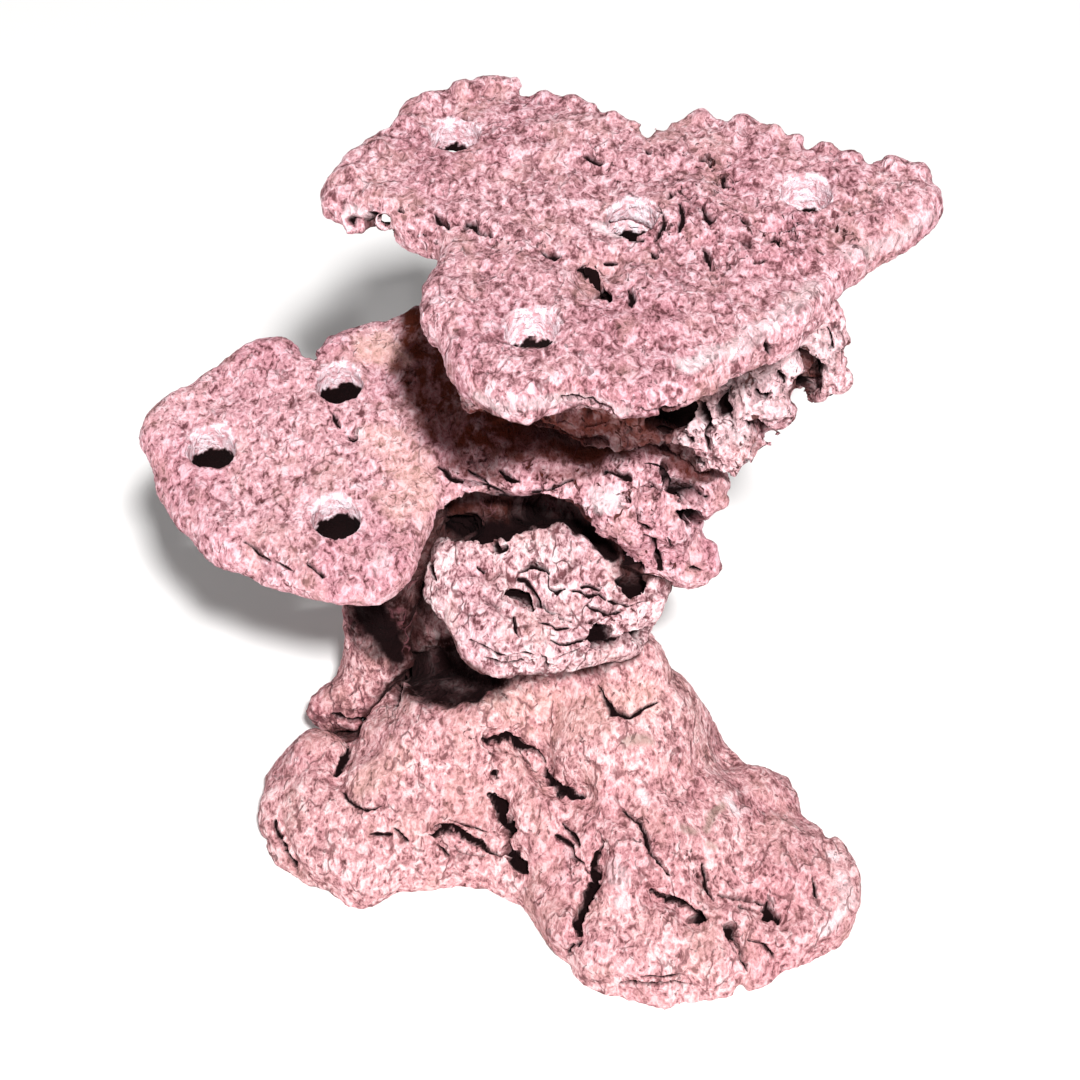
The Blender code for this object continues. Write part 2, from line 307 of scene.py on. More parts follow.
class NodeTree:
    """A material's or a world's nodes, with one way to add a node."""

    def __init__(self, owner: Any) -> None:
        """Start with an empty tree.

        Args:
            owner: the material or world.
        """
        owner.use_nodes = True
        self.tree = owner.node_tree
        self.tree.nodes.clear()

    def add(self, kind: str, inputs: dict[Any, Any] | None = None, **settings: Any) -> bpy.types.Node:
        """Add a node.

        Args:
            kind: the node's type name.
            inputs: a value or another node's output socket for each input, by name or number.
            settings: the node's own properties.

        Returns:
            The node.
        """
        node = self.tree.nodes.new(kind)
        for name, value in settings.items():
            setattr(node, name, value)
        for key, value in (inputs or {}).items():
            if isinstance(value, bpy.types.NodeSocket):
                self.tree.links.new(value, node.inputs[key])
            else:
                node.inputs[key].default_value = value
        return node

    def maths(self, operation: str, first: Any, second: Any) -> bpy.types.NodeSocket:
        """Work with two numbers.

        Args:
            operation: such as "ADD".
            first: a number or a socket.
            second: a number or a socket.

        Returns:
            The result's socket.
        """
        return self.add("ShaderNodeMath", {0: first, 1: second}, operation=operation).outputs[0]

    def mix(self, factor: Any, first: Any, second: Any, blend: str = "MIX") -> bpy.types.NodeSocket:
        """Mix two colours.

        Args:
            factor: how much of the second, as a number or a socket.
            first: a linear colour or a socket.
            second: a linear colour or a socket.
            blend: how they are mixed.

        Returns:
            The mixed colour's socket.
        """
        node = self.add("ShaderNodeMix", {0: factor, 6: first, 7: second}, data_type="RGBA", blend_type=blend)
        return node.outputs[2]

    def ramp(self, factor: Any, stops: Sequence[tuple[float, Any]]) -> bpy.types.NodeSocket:
        """Turn a number into a colour.

        Args:
            factor: the number's socket.
            stops: a place from 0 to 1 and a linear colour for each stop.

        Returns:
            The colour's socket.
        """
        node = self.add("ShaderNodeValToRGB", {0: factor})
        band = node.color_ramp
        while len(band.elements) < len(stops):
            band.elements.new(0.5)
        for element, (place, colour) in zip(band.elements, stops):
            element.position = place
            element.color = colour
        return node.outputs[0]

    def level(
        self, value: Any, low: float, high: float, to_low: float = 0.0, to_high: float = 1.0
    ) -> bpy.types.NodeSocket:
        """Stretch a number from one range to another, without leaving it.

        Args:
            value: the number's socket.
            low: the number that becomes to_low.
            high: the number that becomes to_high.
            to_low: the lowest result.
            to_high: the highest result.

        Returns:
            The result's socket.
        """
        return self.add("ShaderNodeMapRange", {0: value, 1: low, 2: high, 3: to_low, 4: to_high}).outputs[0]


@dataclass(frozen=True)
class ReefRock:
    """Aragonite reef rock, dry and overgrown with pink coralline crust.

    The crust is chalky and never shines. Its granules, 1 to 2 mm wide, are lighter on top and mauve to brownish in
    between, partly their colour and partly painted highlight and shade, and places that the rocks close in get a
    painted dark brownish red shade.
    """

    slot: str
    high: str = "f6d6db"  # tops of the granules, partly painted highlight
    middle: str = "d6a1a9"
    between: str = "ae7c83"
    low: str = "6d4247"  # the crevices, partly painted shade
    cool: str = "dcb6c4"  # where the crust is more lilac
    ochre: str = "c79a90"  # where it is worn to the rock
    # painted shade: the near-black in pits, cracks and the deep part of bores
    hollow: str = "140506"
    # painted shade where the rocks close a place in from the sky, and in the pores
    painted_shelter_shade: str = "3a1a18"
    warm: str = "efc3b0"
    # whitish patches, partly painted highlight where rims catch the light
    pale_and_highlight: str = "fbe6e9"
    grey: str = "a38a80"
    # brownish stain, partly painted shade under rims and in recesses
    brown_stain_and_shade: str = "45201b"
    # the clean drilled wall, with painted light on the far side of each bore
    bore: str = "fdeaf1"
    creases: float = 0.85  # how clearly its fine creases show
    roughness: float = 0.95
    granule_mm: float = 2.2  # from one granule to the next
    fine_mm: float = 0.9
    tint_mm: float = 26.0  # lilac places
    worn_mm: float = 11.0
    stain_and_shade_mm: float = 4.5
    pore_mm: float = 2.6
    crease_mm: float = 9.0
    stretch_mm: float = 8.0  # how long a crease shows before it fades

    def material(self) -> bpy.types.Material:
        """Build the material.

        Returns:
            The material, named for its slot.
        """
        material = bpy.data.materials.new(self.slot)
        nodes = NodeTree(material)
        where = nodes.add("ShaderNodeTexCoord").outputs["Object"]
        # The granules lie a little longer towards the back and up than across.
        drawn = nodes.add("ShaderNodeMapping", {0: where, 3: (1.0, 0.66, 0.72)}).outputs[0]

        def attribute(name: str) -> bpy.types.NodeSocket:
            """The value of one of the skin's attributes."""
            return nodes.add("ShaderNodeAttribute", attribute_name=name).outputs["Fac"]

        def grain(size: float, detail: float, roughness: float, twist: float = 0.0) -> bpy.types.NodeSocket:
            """Noise whose features are some millimetres apart."""
            inputs = {
                "Vector": drawn,
                "Scale": 1 / (size * MM),
                "Detail": detail,
                "Roughness": roughness,
                "Distortion": twist,
            }
            return nodes.add("ShaderNodeTexNoise", inputs).outputs[0]

        # Granules, broken by finer ones, and the skin's own relief: the tone is lighter where the bump and the relief
        # rise and darker where they sink, partly the crust's colour and partly painted highlight and shade.
        coarse = grain(self.granule_mm, 3.0, 0.6, 0.7)
        fine = grain(self.fine_mm, 2.0, 0.6)
        crust = nodes.maths("ADD", nodes.maths("MULTIPLY", coarse, 0.68), nodes.maths("MULTIPLY", fine, 0.32))
        tone = nodes.maths("ADD", crust, nodes.level(attribute("relief"), 0.0, 1.0, -0.07, 0.07))
        stops = [
            (0.375, linear(self.low)),
            (0.44, linear(self.between)),
            (0.51, linear(self.middle)),
            (0.60, linear(self.high)),
        ]
        colour = nodes.ramp(tone, stops)
        lilac = nodes.level(grain(self.tint_mm, 4.0, 0.6), 0.48, 0.62, 0.0, 0.4)
        colour = nodes.mix(lilac, colour, linear(self.cool), "MULTIPLY")
        worn = nodes.level(grain(self.worn_mm, 3.0, 0.6), 0.5, 0.66, 0.0, 0.3)
        colour = nodes.mix(worn, colour, linear(self.ochre))
        # Stains and bare places; the whitish patches are partly painted highlight where rims catch the light.
        for name, tint, share in (
            ("warm", self.warm, 0.55),
            ("grey", self.grey, 0.8),
            ("pale_and_highlight", self.pale_and_highlight, 0.75),
        ):
            strength = nodes.maths("MULTIPLY", attribute(name), share)
            colour = nodes.mix(strength, colour, linear(tint))
        # Painted shade: places that the rocks close in from the sky are darkened towards a dark red.
        colour = nodes.mix(nodes.level(attribute("painted_shelter_shade"), 0.0, 1.0, 0.0, 0.9), colour, linear(self.painted_shelter_shade))
        # Brownish stain, partly painted shade under rims and in recesses, in patches.
        patchy = nodes.level(grain(self.stain_and_shade_mm, 3.0, 0.7), 0.4, 0.54, 0.72, 1.0)
        colour = nodes.mix(nodes.maths("MULTIPLY", attribute("brown_stain_and_shade"), patchy), colour, linear(self.brown_stain_and_shade))
        # Pores: small holes painted in the shade colour, more of them where the rock is rough.
        pores = nodes.level(grain(self.pore_mm, 2.0, 0.5, 1.2), 0.31, 0.37, 1.0, 0.0)
        pores = nodes.maths("MULTIPLY", pores, nodes.level(attribute("rough"), 0.0, 1.0, 0.55, 1.0))
        # Creases: a net of thin, winding lines painted dark as their shade, of which short stretches show.
        winding = {"Vector": drawn, "Scale": 1 / (0.4 * self.crease_mm * MM), "Detail": 2.0}
        sway = nodes.add("ShaderNodeTexNoise", winding).outputs["Color"]
        sway = nodes.add("ShaderNodeVectorMath", {0: sway, "Scale": 5.0 * MM}, operation="SCALE").outputs[0]
        bent = nodes.add("ShaderNodeVectorMath", {0: drawn, 1: sway}, operation="ADD").outputs[0]
        net = {"Vector": bent, "Scale": 1 / (self.crease_mm * MM)}
        edge = nodes.add("ShaderNodeTexVoronoi", net, feature="DISTANCE_TO_EDGE").outputs["Distance"]
        crease = nodes.level(edge, 0.012, 0.045, self.creases, 0.0)
        stretches = nodes.level(grain(self.stretch_mm, 2.0, 0.6), 0.5, 0.56)
        crease = nodes.maths("MULTIPLY", crease, stretches)
        colour = nodes.mix(crease, colour, linear(self.low))
        colour = nodes.mix(pores, colour, linear(self.painted_shelter_shade))
        worn_in = nodes.maths("MAXIMUM", pores, crease)
        # Bore walls: clean whitish rock, which runs out behind each bore as painted light.
        drilled = nodes.mix(nodes.level(crust, 0.4, 0.56), linear(self.middle), linear(self.bore))
        colour = nodes.mix(attribute("bore"), colour, drilled)
        # Painted shade: pits, cracks and the deep part of each bore are near-black.
        colour = nodes.mix(attribute("hollow"), colour, linear(self.hollow))
        # The granules stand out about 0.3 mm.
        raised = nodes.maths("SUBTRACT", crust, nodes.maths("MULTIPLY", worn_in, 0.25))
        bump = nodes.add("ShaderNodeBump", {"Strength": 1.0, "Distance": 1.5 * MM, "Height": raised})
        shader = nodes.add(
            "ShaderNodeBsdfPrincipled",
            {
                "Base Color": colour,
                "Roughness": self.roughness,
                "Metallic": 0.0,
                "IOR": 1.5,
                "Specular IOR Level": 0.12,
                "Normal": bump.outputs[0],
            },
        )
        nodes.add("ShaderNodeOutputMaterial", {"Surface": shader.outputs[0]})
        return material


@dataclass(frozen=True)
class StudioPaper:
    """Matt white background paper: it has no grain that shows from here."""

    colour: str = "f8f6f5"

    def material(self) -> bpy.types.Material:
        """Build the material.

        Returns:
            The material.
        """
        material = bpy.data.materials.new("studio_paper")
        nodes = NodeTree(material)
        shader = nodes.add("ShaderNodeBsdfPrincipled", {"Base Color": linear(self.colour), "Roughness": 0.9})
        nodes.add("ShaderNodeOutputMaterial", {"Surface": shader.outputs[0]})
        return material


# ---------------------------------------------------------------- rocks


def baked(obj: bpy.types.Object) -> None:
    """Replace an object's mesh by what its modifiers make of it.

    Args:
        obj: the object.
    """
    graph = bpy.context.evaluated_depsgraph_get()
    made = bpy.data.meshes.new_from_object(obj.evaluated_get(graph))
    obj.modifiers.clear()
    old = obj.data
    obj.data = made
    bpy.data.meshes.remove(old)


class Shelter:
    """How closed in each place of the tower is: how much of the sky above it the rocks themselves hide. The rocks'
    materials paint shade by it.
    """

    def __init__(self, nodes: Iterable[bpy.types.Object], reach: float = 90.0, rays: int = 48) -> None:
        """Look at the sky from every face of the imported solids.

        Args:
            nodes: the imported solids' objects.
            reach: how near a rock must be to shelter a place.
            rays: how many ways each face looks.
        """
        points: list[Vector] = []
        normals: list[Vector] = []
        corners: list[Vector] = []
        faces: list[tuple[int, ...]] = []
        for node in nodes:
            start = len(corners)
            corners += [vert.co / MM for vert in node.data.vertices]
            for face in node.data.polygons:
                faces.append(tuple(start + i for i in face.vertices))
                points.append(face.center / MM)
                normals.append(face.normal.copy())
        tree = BVHTree.FromPolygons(corners, faces)
        turn = math.pi * (3 - math.sqrt(5))
        ways = []
        for i in range(rays):
            up = (i + 0.5) / rays
            side = math.sqrt(1 - up * up)
            ways.append(Vector((side * math.cos(i * turn), side * math.sin(i * turn), up)))
        self.shares = np.zeros(len(points))
        self.near = KDTree(len(points))
        for i, (point, normal) in enumerate(zip(points, normals)):
            start_point = point + normal * 0.6
            hidden, total = 0.0, 0.0
            for way in ways:
                weight = way.z + 0.15
                total += weight
                if way.dot(normal) < 0 or tree.ray_cast(start_point, way, reach)[0] is not None:
                    hidden += weight
            self.shares[i] = hidden / total
            self.near.insert(point, i)
        self.near.balance()

    def at(self, points: np.ndarray) -> np.ndarray:
        """How closed in some points are.

        Args:
            points: one row of X, Y and Z for each.

        Returns:
            A number from 0, open, to 1, closed in, for each point.
        """
        shares = np.zeros(len(points))
        for i, point in enumerate(points):
            found = self.near.find_n(point, 5)
            weights = [1 / (distance + 1.0) for _, _, distance in found]
            shares[i] = sum(w * self.shares[j] for w, (_, j, _) in zip(weights, found)) / sum(weights)
        return shares


@dataclass
class Rock:
    """One rock of the tower."""

    node: str
    seed: float
    finish: ReefRock
    skin: float = 0.7  # between the points of the fine skin
    relief: Relief = Relief()
    bores: tuple[Bore, ...] = ()
    cracks: tuple[Crack, ...] = ()
    patches: tuple[Patch, ...] = ()
    lobes: tuple[Lobe, ...] = ()
    notches: tuple[Notch, ...] = ()
    rough: float = 0.0  # how rough the rock is all over
    flat_below: float = -1.0  # the height under which the rock stays as it is
    slack: float = 6.0  # how far a crack's straight stretches may pass over or under the rock

    def build(self, solid: bpy.types.Object, shelter: Shelter) -> bpy.types.Object:
        """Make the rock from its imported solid, and hand it to the frame.

        Args:
            solid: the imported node.
            shelter: what the tower hides from the sky.

        Returns:
            The finished rock.
        """
        rock, tree = self.fused(solid)
        self.lay_skin(rock)
        self.refine(rock, tree)
        self.work_skin(rock, tree, shelter)
        rock.data.materials.clear()
        rock.data.materials.append(self.finish.material())
        rock.data.shade_smooth()
        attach(rock, "root")
        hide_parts(self.node)
        triangles = sum(len(face.vertices) - 2 for face in rock.data.polygons)
        LOG.info("%s: %d triangles", rock.name, triangles)
        return rock

    def fused(self, solid: bpy.types.Object) -> tuple[bpy.types.Object, BVHTree]:
        """A merged copy of the solid, with the small lobes beside it in the same mesh.

        Args:
            solid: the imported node.

        Returns:
            The copy's object, and the surface of the solid alone.
        """
        bm = bmesh.new()
        bm.from_mesh(solid.data)
        bmesh.ops.remove_doubles(bm, verts=bm.verts, dist=0.01 * MM)
        tree = BVHTree.FromPolygons(
            [vert.co / MM for vert in bm.verts], [[vert.index for vert in face.verts] for face in bm.faces]
        )
        for lobe in self.lobes:
            place, normal = VIEW.landing(lobe.at, tree)
            centre = (place - normal * (lobe.radius - lobe.out)) * MM
            bmesh.ops.create_icosphere(
                bm, subdivisions=2, radius=lobe.radius * MM, matrix=Matrix.Translation(centre)
            )
        name = self.node.replace("_rock", "_reef")
        mesh = bpy.data.meshes.new(name)
        bm.to_mesh(mesh)
        bm.free()
        rock = bpy.data.objects.new(name, mesh)
        bpy.context.scene.collection.objects.link(rock)
        if self.notches:
            self.cut_notches(rock, tree)
        return rock, tree

    def cut_notches(self, rock: bpy.types.Object, tree: BVHTree) -> None:
        """Cut the notches out of the rock's edges.

        Args:
            rock: the rock's object.
            tree: the solid's surface.
        """
        bm = bmesh.new()
        for notch in self.notches:
            way = VIEW.towards(notch.at)
            middle = VIEW.landing(notch.at, tree)[0] + way * (notch.depth / 2 - 10.0)
            turn = way.to_track_quat("Z", "Y").to_matrix().to_4x4()
            bmesh.ops.create_cone(
                bm,
                cap_ends=True,
                segments=10,
                radius1=notch.radius * MM,
                radius2=notch.radius * MM,
                depth=notch.depth * MM,
                matrix=Matrix.Translation(middle * MM) @ turn,
            )
        mesh = bpy.data.meshes.new("notches")
        bm.to_mesh(mesh)
        bm.free()
        cutter = bpy.data.objects.new("notches", mesh)
        bpy.context.scene.collection.objects.link(cutter)
        cut = rock.modifiers.new("notches", "BOOLEAN")
        cut.operation = "DIFFERENCE"
        cut.solver = "EXACT"
        cut.use_self = True
        cut.object = cutter
        baked(rock)
        bpy.data.objects.remove(cutter)
        bpy.data.meshes.remove(mesh)

    def lay_skin(self, rock: bpy.types.Object) -> None:
        """Cover the rock with one fine, even skin.

        Args:
            rock: the rock's object.
        """
        cover = rock.modifiers.new("cover", "REMESH")
        cover.mode = "VOXEL"
        cover.voxel_size = self.skin * MM * 1.0
        soften = rock.modifiers.new("soften", "SMOOTH")
        soften.factor = 0.5
        soften.iterations = 8
        baked(rock)
        if self.notches:
            self.drop_crumbs(rock.data)

    @staticmethod
    def drop_crumbs(mesh: bpy.types.Mesh) -> None:
        """Remove the crumbs that the notches cut loose: all but the largest piece of the mesh."""
        bm = bmesh.new()
        bm.from_mesh(mesh)
        left = set(bm.verts)
        pieces = []
        while left:
            reached = [left.pop()]
            piece = list(reached)
            while reached:
                vert = reached.pop()
                for edge in vert.link_edges:
                    other = edge.other_vert(vert)
                    if other in left:
                        left.remove(other)
                        reached.append(other)
                        piece.append(other)
            pieces.append(piece)
        for crumb in sorted(pieces, key=len)[:-1]:
            bmesh.ops.delete(bm, geom=crumb, context="VERTS")
        bm.to_mesh(mesh)
        bm.free()

    def refine(self, rock: bpy.types.Object, tree: BVHTree) -> None:
        """Give the skin more points round its cracks and the rims of its bores.

        Args:
            rock: the rock's object.
            tree: the solid's surface.
        """
        points = self.coordinates(rock.data)
        wanted = np.zeros(len(points), bool)
        for crack in self.cracks:
            if crack.width < WIDE:
                wanted |= self.gap_to(points, crack.path, tree, self.slack)[0] < crack.width + LIP
        top = points[:, 2].max()
        for bore in self.bores:
            out = np.hypot(points[:, 0] - bore.x, points[:, 1] - bore.y)
            wanted |= (np.abs(out - bore.radius) < RIM) & (points[:, 2] > top - RIM_DEPTH)
        bm = bmesh.new()
        bm.from_mesh(rock.data)
        edges = [edge for edge in bm.edges if wanted[edge.verts[0].index] and wanted[edge.verts[1].index]]
        bmesh.ops.subdivide_edges(bm, edges=edges, cuts=1, use_grid_fill=True)
        bm.to_mesh(rock.data)
        bm.free()

    def work_skin(self, rock: bpy.types.Object, tree: BVHTree, shelter: Shelter) -> None:
        """Move the skin by its relief, and keep what each place is in attributes.

        Args:
            rock: the rock's object.
            tree: the solid's surface.
            shelter: what the tower hides from the sky.
        """
        mesh = rock.data
        points = self.coordinates(mesh)
        normals = np.empty(len(points) * 3, np.float32)
        mesh.vertex_normals.foreach_get("vector", normals)
        normals = normals.reshape(-1, 3)

        kept = {mark.value: np.zeros(len(points)) for mark in Mark}
        wander = self.wander(points)
        for patch in self.patches:
            gap = self.gap_to(points + wander * patch.radius * 0.45, patch.path, tree)[0]
            near = smooth(1.4 * (1 - gap / patch.radius)) * patch.strength
            kept[patch.mark.value] = np.maximum(kept[patch.mark.value], near)
        kept["rough"] = np.maximum(kept["rough"], self.rough)
        height, detail, pits = self.relief_at(points, kept["rough"])
        sink, cracked = self.cracks_at(points, tree)
        wall, deep = self.bore_walls(points, normals)
        move = (height * (1 - 0.6 * wall) - sink) * (points[:, 2] > self.flat_below)
        moved = points + normals * move[:, None]
        moved[:, 2] = np.maximum(moved[:, 2], 0.0)
        mesh.vertices.foreach_set("co", (moved * MM).astype(np.float32).ravel())
        mesh.update()

        # Painted shade inside pits, crevices, cracks and the deep part of bores.
        kept["hollow"] = np.maximum.reduce([pits * (1 - wall), cracked, deep])
        kept["relief"] = np.clip(0.5 + detail / (2.4 * (self.relief.knob + self.relief.grain)), 0, 1)
        kept["bore"] = wall * (1 - deep)
        # Painted shade where the rocks hide the sky.
        kept["painted_shelter_shade"] = smooth((shelter.at(points) - START_DARK) / DARK_SPAN)
        for name, values in kept.items():
            attribute = mesh.attributes.new(name, "FLOAT", "POINT")
            attribute.data.foreach_set("value", values.astype(np.float32))

    @staticmethod
    def coordinates(mesh: bpy.types.Mesh) -> np.ndarray:
        """The mesh's points in millimetres, one row for each."""
        points = np.empty(len(mesh.vertices) * 3, np.float32)
        mesh.vertices.foreach_get("co", points)
        return points.reshape(-1, 3) / MM

    def wander(self, points: np.ndarray) -> np.ndarray:
        """Small sideways shifts that make an edge ragged.

        Args:
            points: one row for each point.

        Returns:
            A shift of up to about one for each.
        """
        shift = Vector((self.seed, self.seed * 2, -self.seed))
        return np.array([noise.turbulence_vector(Vector(point) / 6.0 + shift, 2, False) for point in points])

    def relief_at(self, points: np.ndarray, rough: np.ndarray) -> tuple[np.ndarray, np.ndarray, np.ndarray]:
        """How far the worn surface stands out at some points, and how deep in a pit they are.

        Args:
            points: one row for each point.
            rough: how rough the rock is at each.

        Returns:
            The heights in millimetres, the part of them that is not broad, and how deep in a pit each point is.
        """
        r = self.relief
        shift = Vector((self.seed * 13.7, self.seed * 5.1, self.seed * 9.3))
        heights = np.zeros(len(points))
        details = np.zeros(len(points))
        pits = np.zeros(len(points))
        for i, row in enumerate(points):
            place = Vector(row) + shift
            swell = noise.fractal(place / r.swell_size, 1.0, 2.0, 3)
            knob = 0.5 - noise.voronoi(place / r.knob_size)[0][0]
            grain = noise.fractal(place / r.grain_size, 0.7, 2.1, 2)
            detail = r.knob * knob + r.grain * grain
            crevice = self.crevice_at(place) * rough[i] if rough[i] > EVEN else 0.0
            if r.flake:
                crevice = max(crevice, self.layer_at(place))
                detail -= r.flake * crevice
            bent = place + noise.noise_vector(place / r.ragged_size) * r.ragged
            pit = self.pit_at(bent, r.pit_size, r.pit_share * (1 + 3 * rough[i]))
            if rough[i] > CRUMBLY:
                small = self.pit_at(bent, r.pit_size / r.smaller, r.small_pit_share * rough[i])
                pit = max(pit, r.small_pit * small)
            detail -= r.crumb * crevice * rough[i]
            heights[i] = r.swell * swell + detail - r.pit * pit
            details[i] = detail
            pits[i] = max(pit, 0.75 * crevice * crevice)
        return heights, details, pits

    def crevice_at(self, place: Vector) -> float:
        """How deep in a winding crevice between two crumbs a place is, from 0 to 1."""
        r = self.relief
        twisted = place + noise.noise_vector(place / r.twist_size) * r.twist
        fold = noise.fractal(twisted / r.crumb_size, 0.7, 2.3, 3)
        broken = min(1.0, max(0.0, 0.55 + 1.6 * noise.noise(place / r.break_size)))
        return max(0.0, 1 - abs(fold) * 5.0) * broken

    def layer_at(self, place: Vector) -> float:
        """How deep between two flaky layers a place is, from 0 to about 1."""
        broad, small = noise.noise(place / 19.0), noise.noise(place / 6.0)
        across = place.y * 0.55 + place.z * 0.45 + (broad * 9.0 + small * 1.6)
        layer = math.sin(across * 2 * math.pi / self.relief.flake_size * 2.2)
        parted = max(0.0, layer - 0.45) / 0.55
        return parted * max(0.0, noise.noise(place / 7.0) + 0.35)

    @staticmethod
    def pit_at(place: Vector, apart: float, share: float) -> float:
        """How deep in a small worn pit a place is.

        Args:
            place: the place, in millimetres.
            apart: how far apart the places are where a pit may be.
            share: how many of them have one, from 0 to 1.

        Returns:
            A number from 0, outside, to 1, at its bottom.
        """
        distances, centres = noise.voronoi(place / apart)
        if noise.cell(centres[0] * 31.7) * 0.5 + 0.5 >= share:
            return 0.0
        size = 0.09 + 0.15 * (noise.cell(centres[0] * 17.3) * 0.5 + 0.5)
        return min(1.0, max(0.0, 1 - distances[0] / size) * 2.0)

    def cracks_at(self, points: np.ndarray, tree: BVHTree) -> tuple[np.ndarray, np.ndarray]:
        """How deep in a crack some points are.

        Args:
            points: one row for each point.
            tree: the solid's surface.

        Returns:
            How far each sinks, in millimetres, and a number from 0 to 1 for how dark its painted shade is.
        """
        sink = np.zeros(len(points))
        dip = np.zeros(len(points))
        dark = np.zeros(len(points))
        for crack in self.cracks:
            gap, along = self.gap_to(points, crack.path, tree, self.slack)
            dip += crack.valley * smooth(1 - (gap - crack.width) / VALLEY_REACH)
            close = np.flatnonzero(gap < crack.width * 1.7 + 2.0)
            if not len(close):
                continue
            taper = np.ones(len(close))
            if len(crack.path) > 1:
                taper = CRACK_END + (1 - CRACK_END) * np.sin(np.pi * along[close]) ** 0.5
            # Its edge is broken: the path is bent, and its width changes from grain to grain.
            spots = [Vector(points[i]) for i in close]
            bend = np.array([noise.turbulence_vector(spot / CRACK_BEND, 2, False) for spot in spots])
            bent = points[close] + bend * (0.6 + 0.5 * min(crack.width, 2.0))
            gap = self.gap_to(bent, crack.path, tree, self.slack)[0]
            uneven = min(0.8, 1.1 / crack.width)
            ragged = np.array([1.1 + uneven * noise.fractal(spot / CRACK_GRAIN, 0.7, 2.0, 2) for spot in spots])
            near = np.clip(1 - gap / (crack.width * taper * np.maximum(ragged, 0.6)), 0, 1)
            sink[close] = np.maximum(sink[close], crack.depth * taper * smooth(near * 2.2))
            dark[close] = np.maximum(dark[close], crack.dark * smooth(near * 2.6 - 0.2))
        return sink + np.minimum(dip, MOST_DIP), dark

    def gap_to(
        self, points: np.ndarray, path: tuple[Pixel, ...], tree: BVHTree, slack: float = 0.0
    ) -> tuple[np.ndarray, np.ndarray]:
        """How far some points are from a path across the rock.

        Args:
            points: one row for each point.
            path: the path's pixels on the photo.
            tree: the solid's surface.
            slack: how far the path's straight stretches may pass over or under the rock, seen from the photo.

        Returns:
            The distance of each point, and how far along the path it lies, from 0 to 1.
        """
        landed = np.array([VIEW.landing(pixel, tree)[0] for pixel in path])
        gap, along = self.gap_along(points, landed)
        if slack:
            seen, along = self.gap_along(VIEW.flat(points), VIEW.spots(path))
            gap = np.maximum(seen, gap - slack)
        return gap, along

    @staticmethod
    def gap_along(points: np.ndarray, corners: np.ndarray) -> tuple[np.ndarray, np.ndarray]:
        """How far some points are from a line through some corners.

        Args:
            points: one row for each point.
            corners: one row for each corner, or for one place alone.

        Returns:
            The distance of each point, and how far along the line it lies, from 0 to 1.
        """
        if len(corners) == 1:
            return np.linalg.norm(points - corners[0], axis=1), np.full(len(points), 0.5)
        lengths = [float(np.linalg.norm(end - start)) for start, end in zip(corners, corners[1:])]
        whole = max(sum(lengths), 1e-6)
        nearest = np.full(len(points), 1e9)
        along = np.zeros(len(points))
        passed = 0.0
        for start, end, length in zip(corners, corners[1:], lengths):
            step = end - start
            share = np.clip((points - start) @ step / max(length * length, 1e-9), 0, 1)
            gap = np.linalg.norm(points - (start + share[:, None] * step), axis=1)
            closer = gap < nearest
            nearest = np.where(closer, gap, nearest)
            along = np.where(closer, (passed + share * length) / whole, along)
            passed += length
        return nearest, along

    def bore_walls(self, points: np.ndarray, normals: np.ndarray) -> tuple[np.ndarray, np.ndarray]:
        """Where the walls of the bores are.

        Args:
            points: one row for each point.
            normals: the surface's normal at each.

        Returns:
            Two numbers from 0 to 1 for each point: how much it is bore wall, and how much of that is the deep part
            of it, painted dark as its shade.
        """
        wall = np.zeros(len(points))
        deep = np.zeros(len(points))
        for bore in self.bores:
            out = np.hypot(points[:, 0] - bore.x, points[:, 1] - bore.y)
            rim = points[(out < bore.radius + 3.0) & (out > bore.radius + 1.0), 2]
            top = float(np.percentile(rim, 90)) if len(rim) else 0.0
            close = np.flatnonzero((out < bore.radius + BORE_REACH) & (points[:, 2] > bore.bottom - 1.0))
            ragged = np.array([noise.fractal(Vector(points[i]) / 3.0, 0.8, 2.0, 3) for i in close])
            upright = np.clip((0.95 - np.abs(normals[close, 2])) / 0.25, 0, 1)
            # Behind the bore the whitish wall runs out over the rim, as painted light on the lit far wall.
            behind = np.clip((points[close, 1] - bore.y) / bore.radius, 0, 1)
            edge = bore.radius + PALE_OUT + PALE_BEHIND * behind + PALE_RAGGED * ragged
            here = smooth((edge - out[close]) / 0.8) * np.maximum(upright, behind)
            wall[close] = np.maximum(wall[close], here)
            slant = (points[close, 0] - bore.x) / bore.radius
            # Painted shade: under its clean top the wall is dark, starting higher on the right.
            under = top - bore.bright + DARK_SLANT * slant + DARK_RAGGED * ragged - points[close, 2]
            deep[close] = np.maximum(deep[close], smooth(under / 0.6) * (out[close] < bore.radius + 1.2))
        return wall, deep


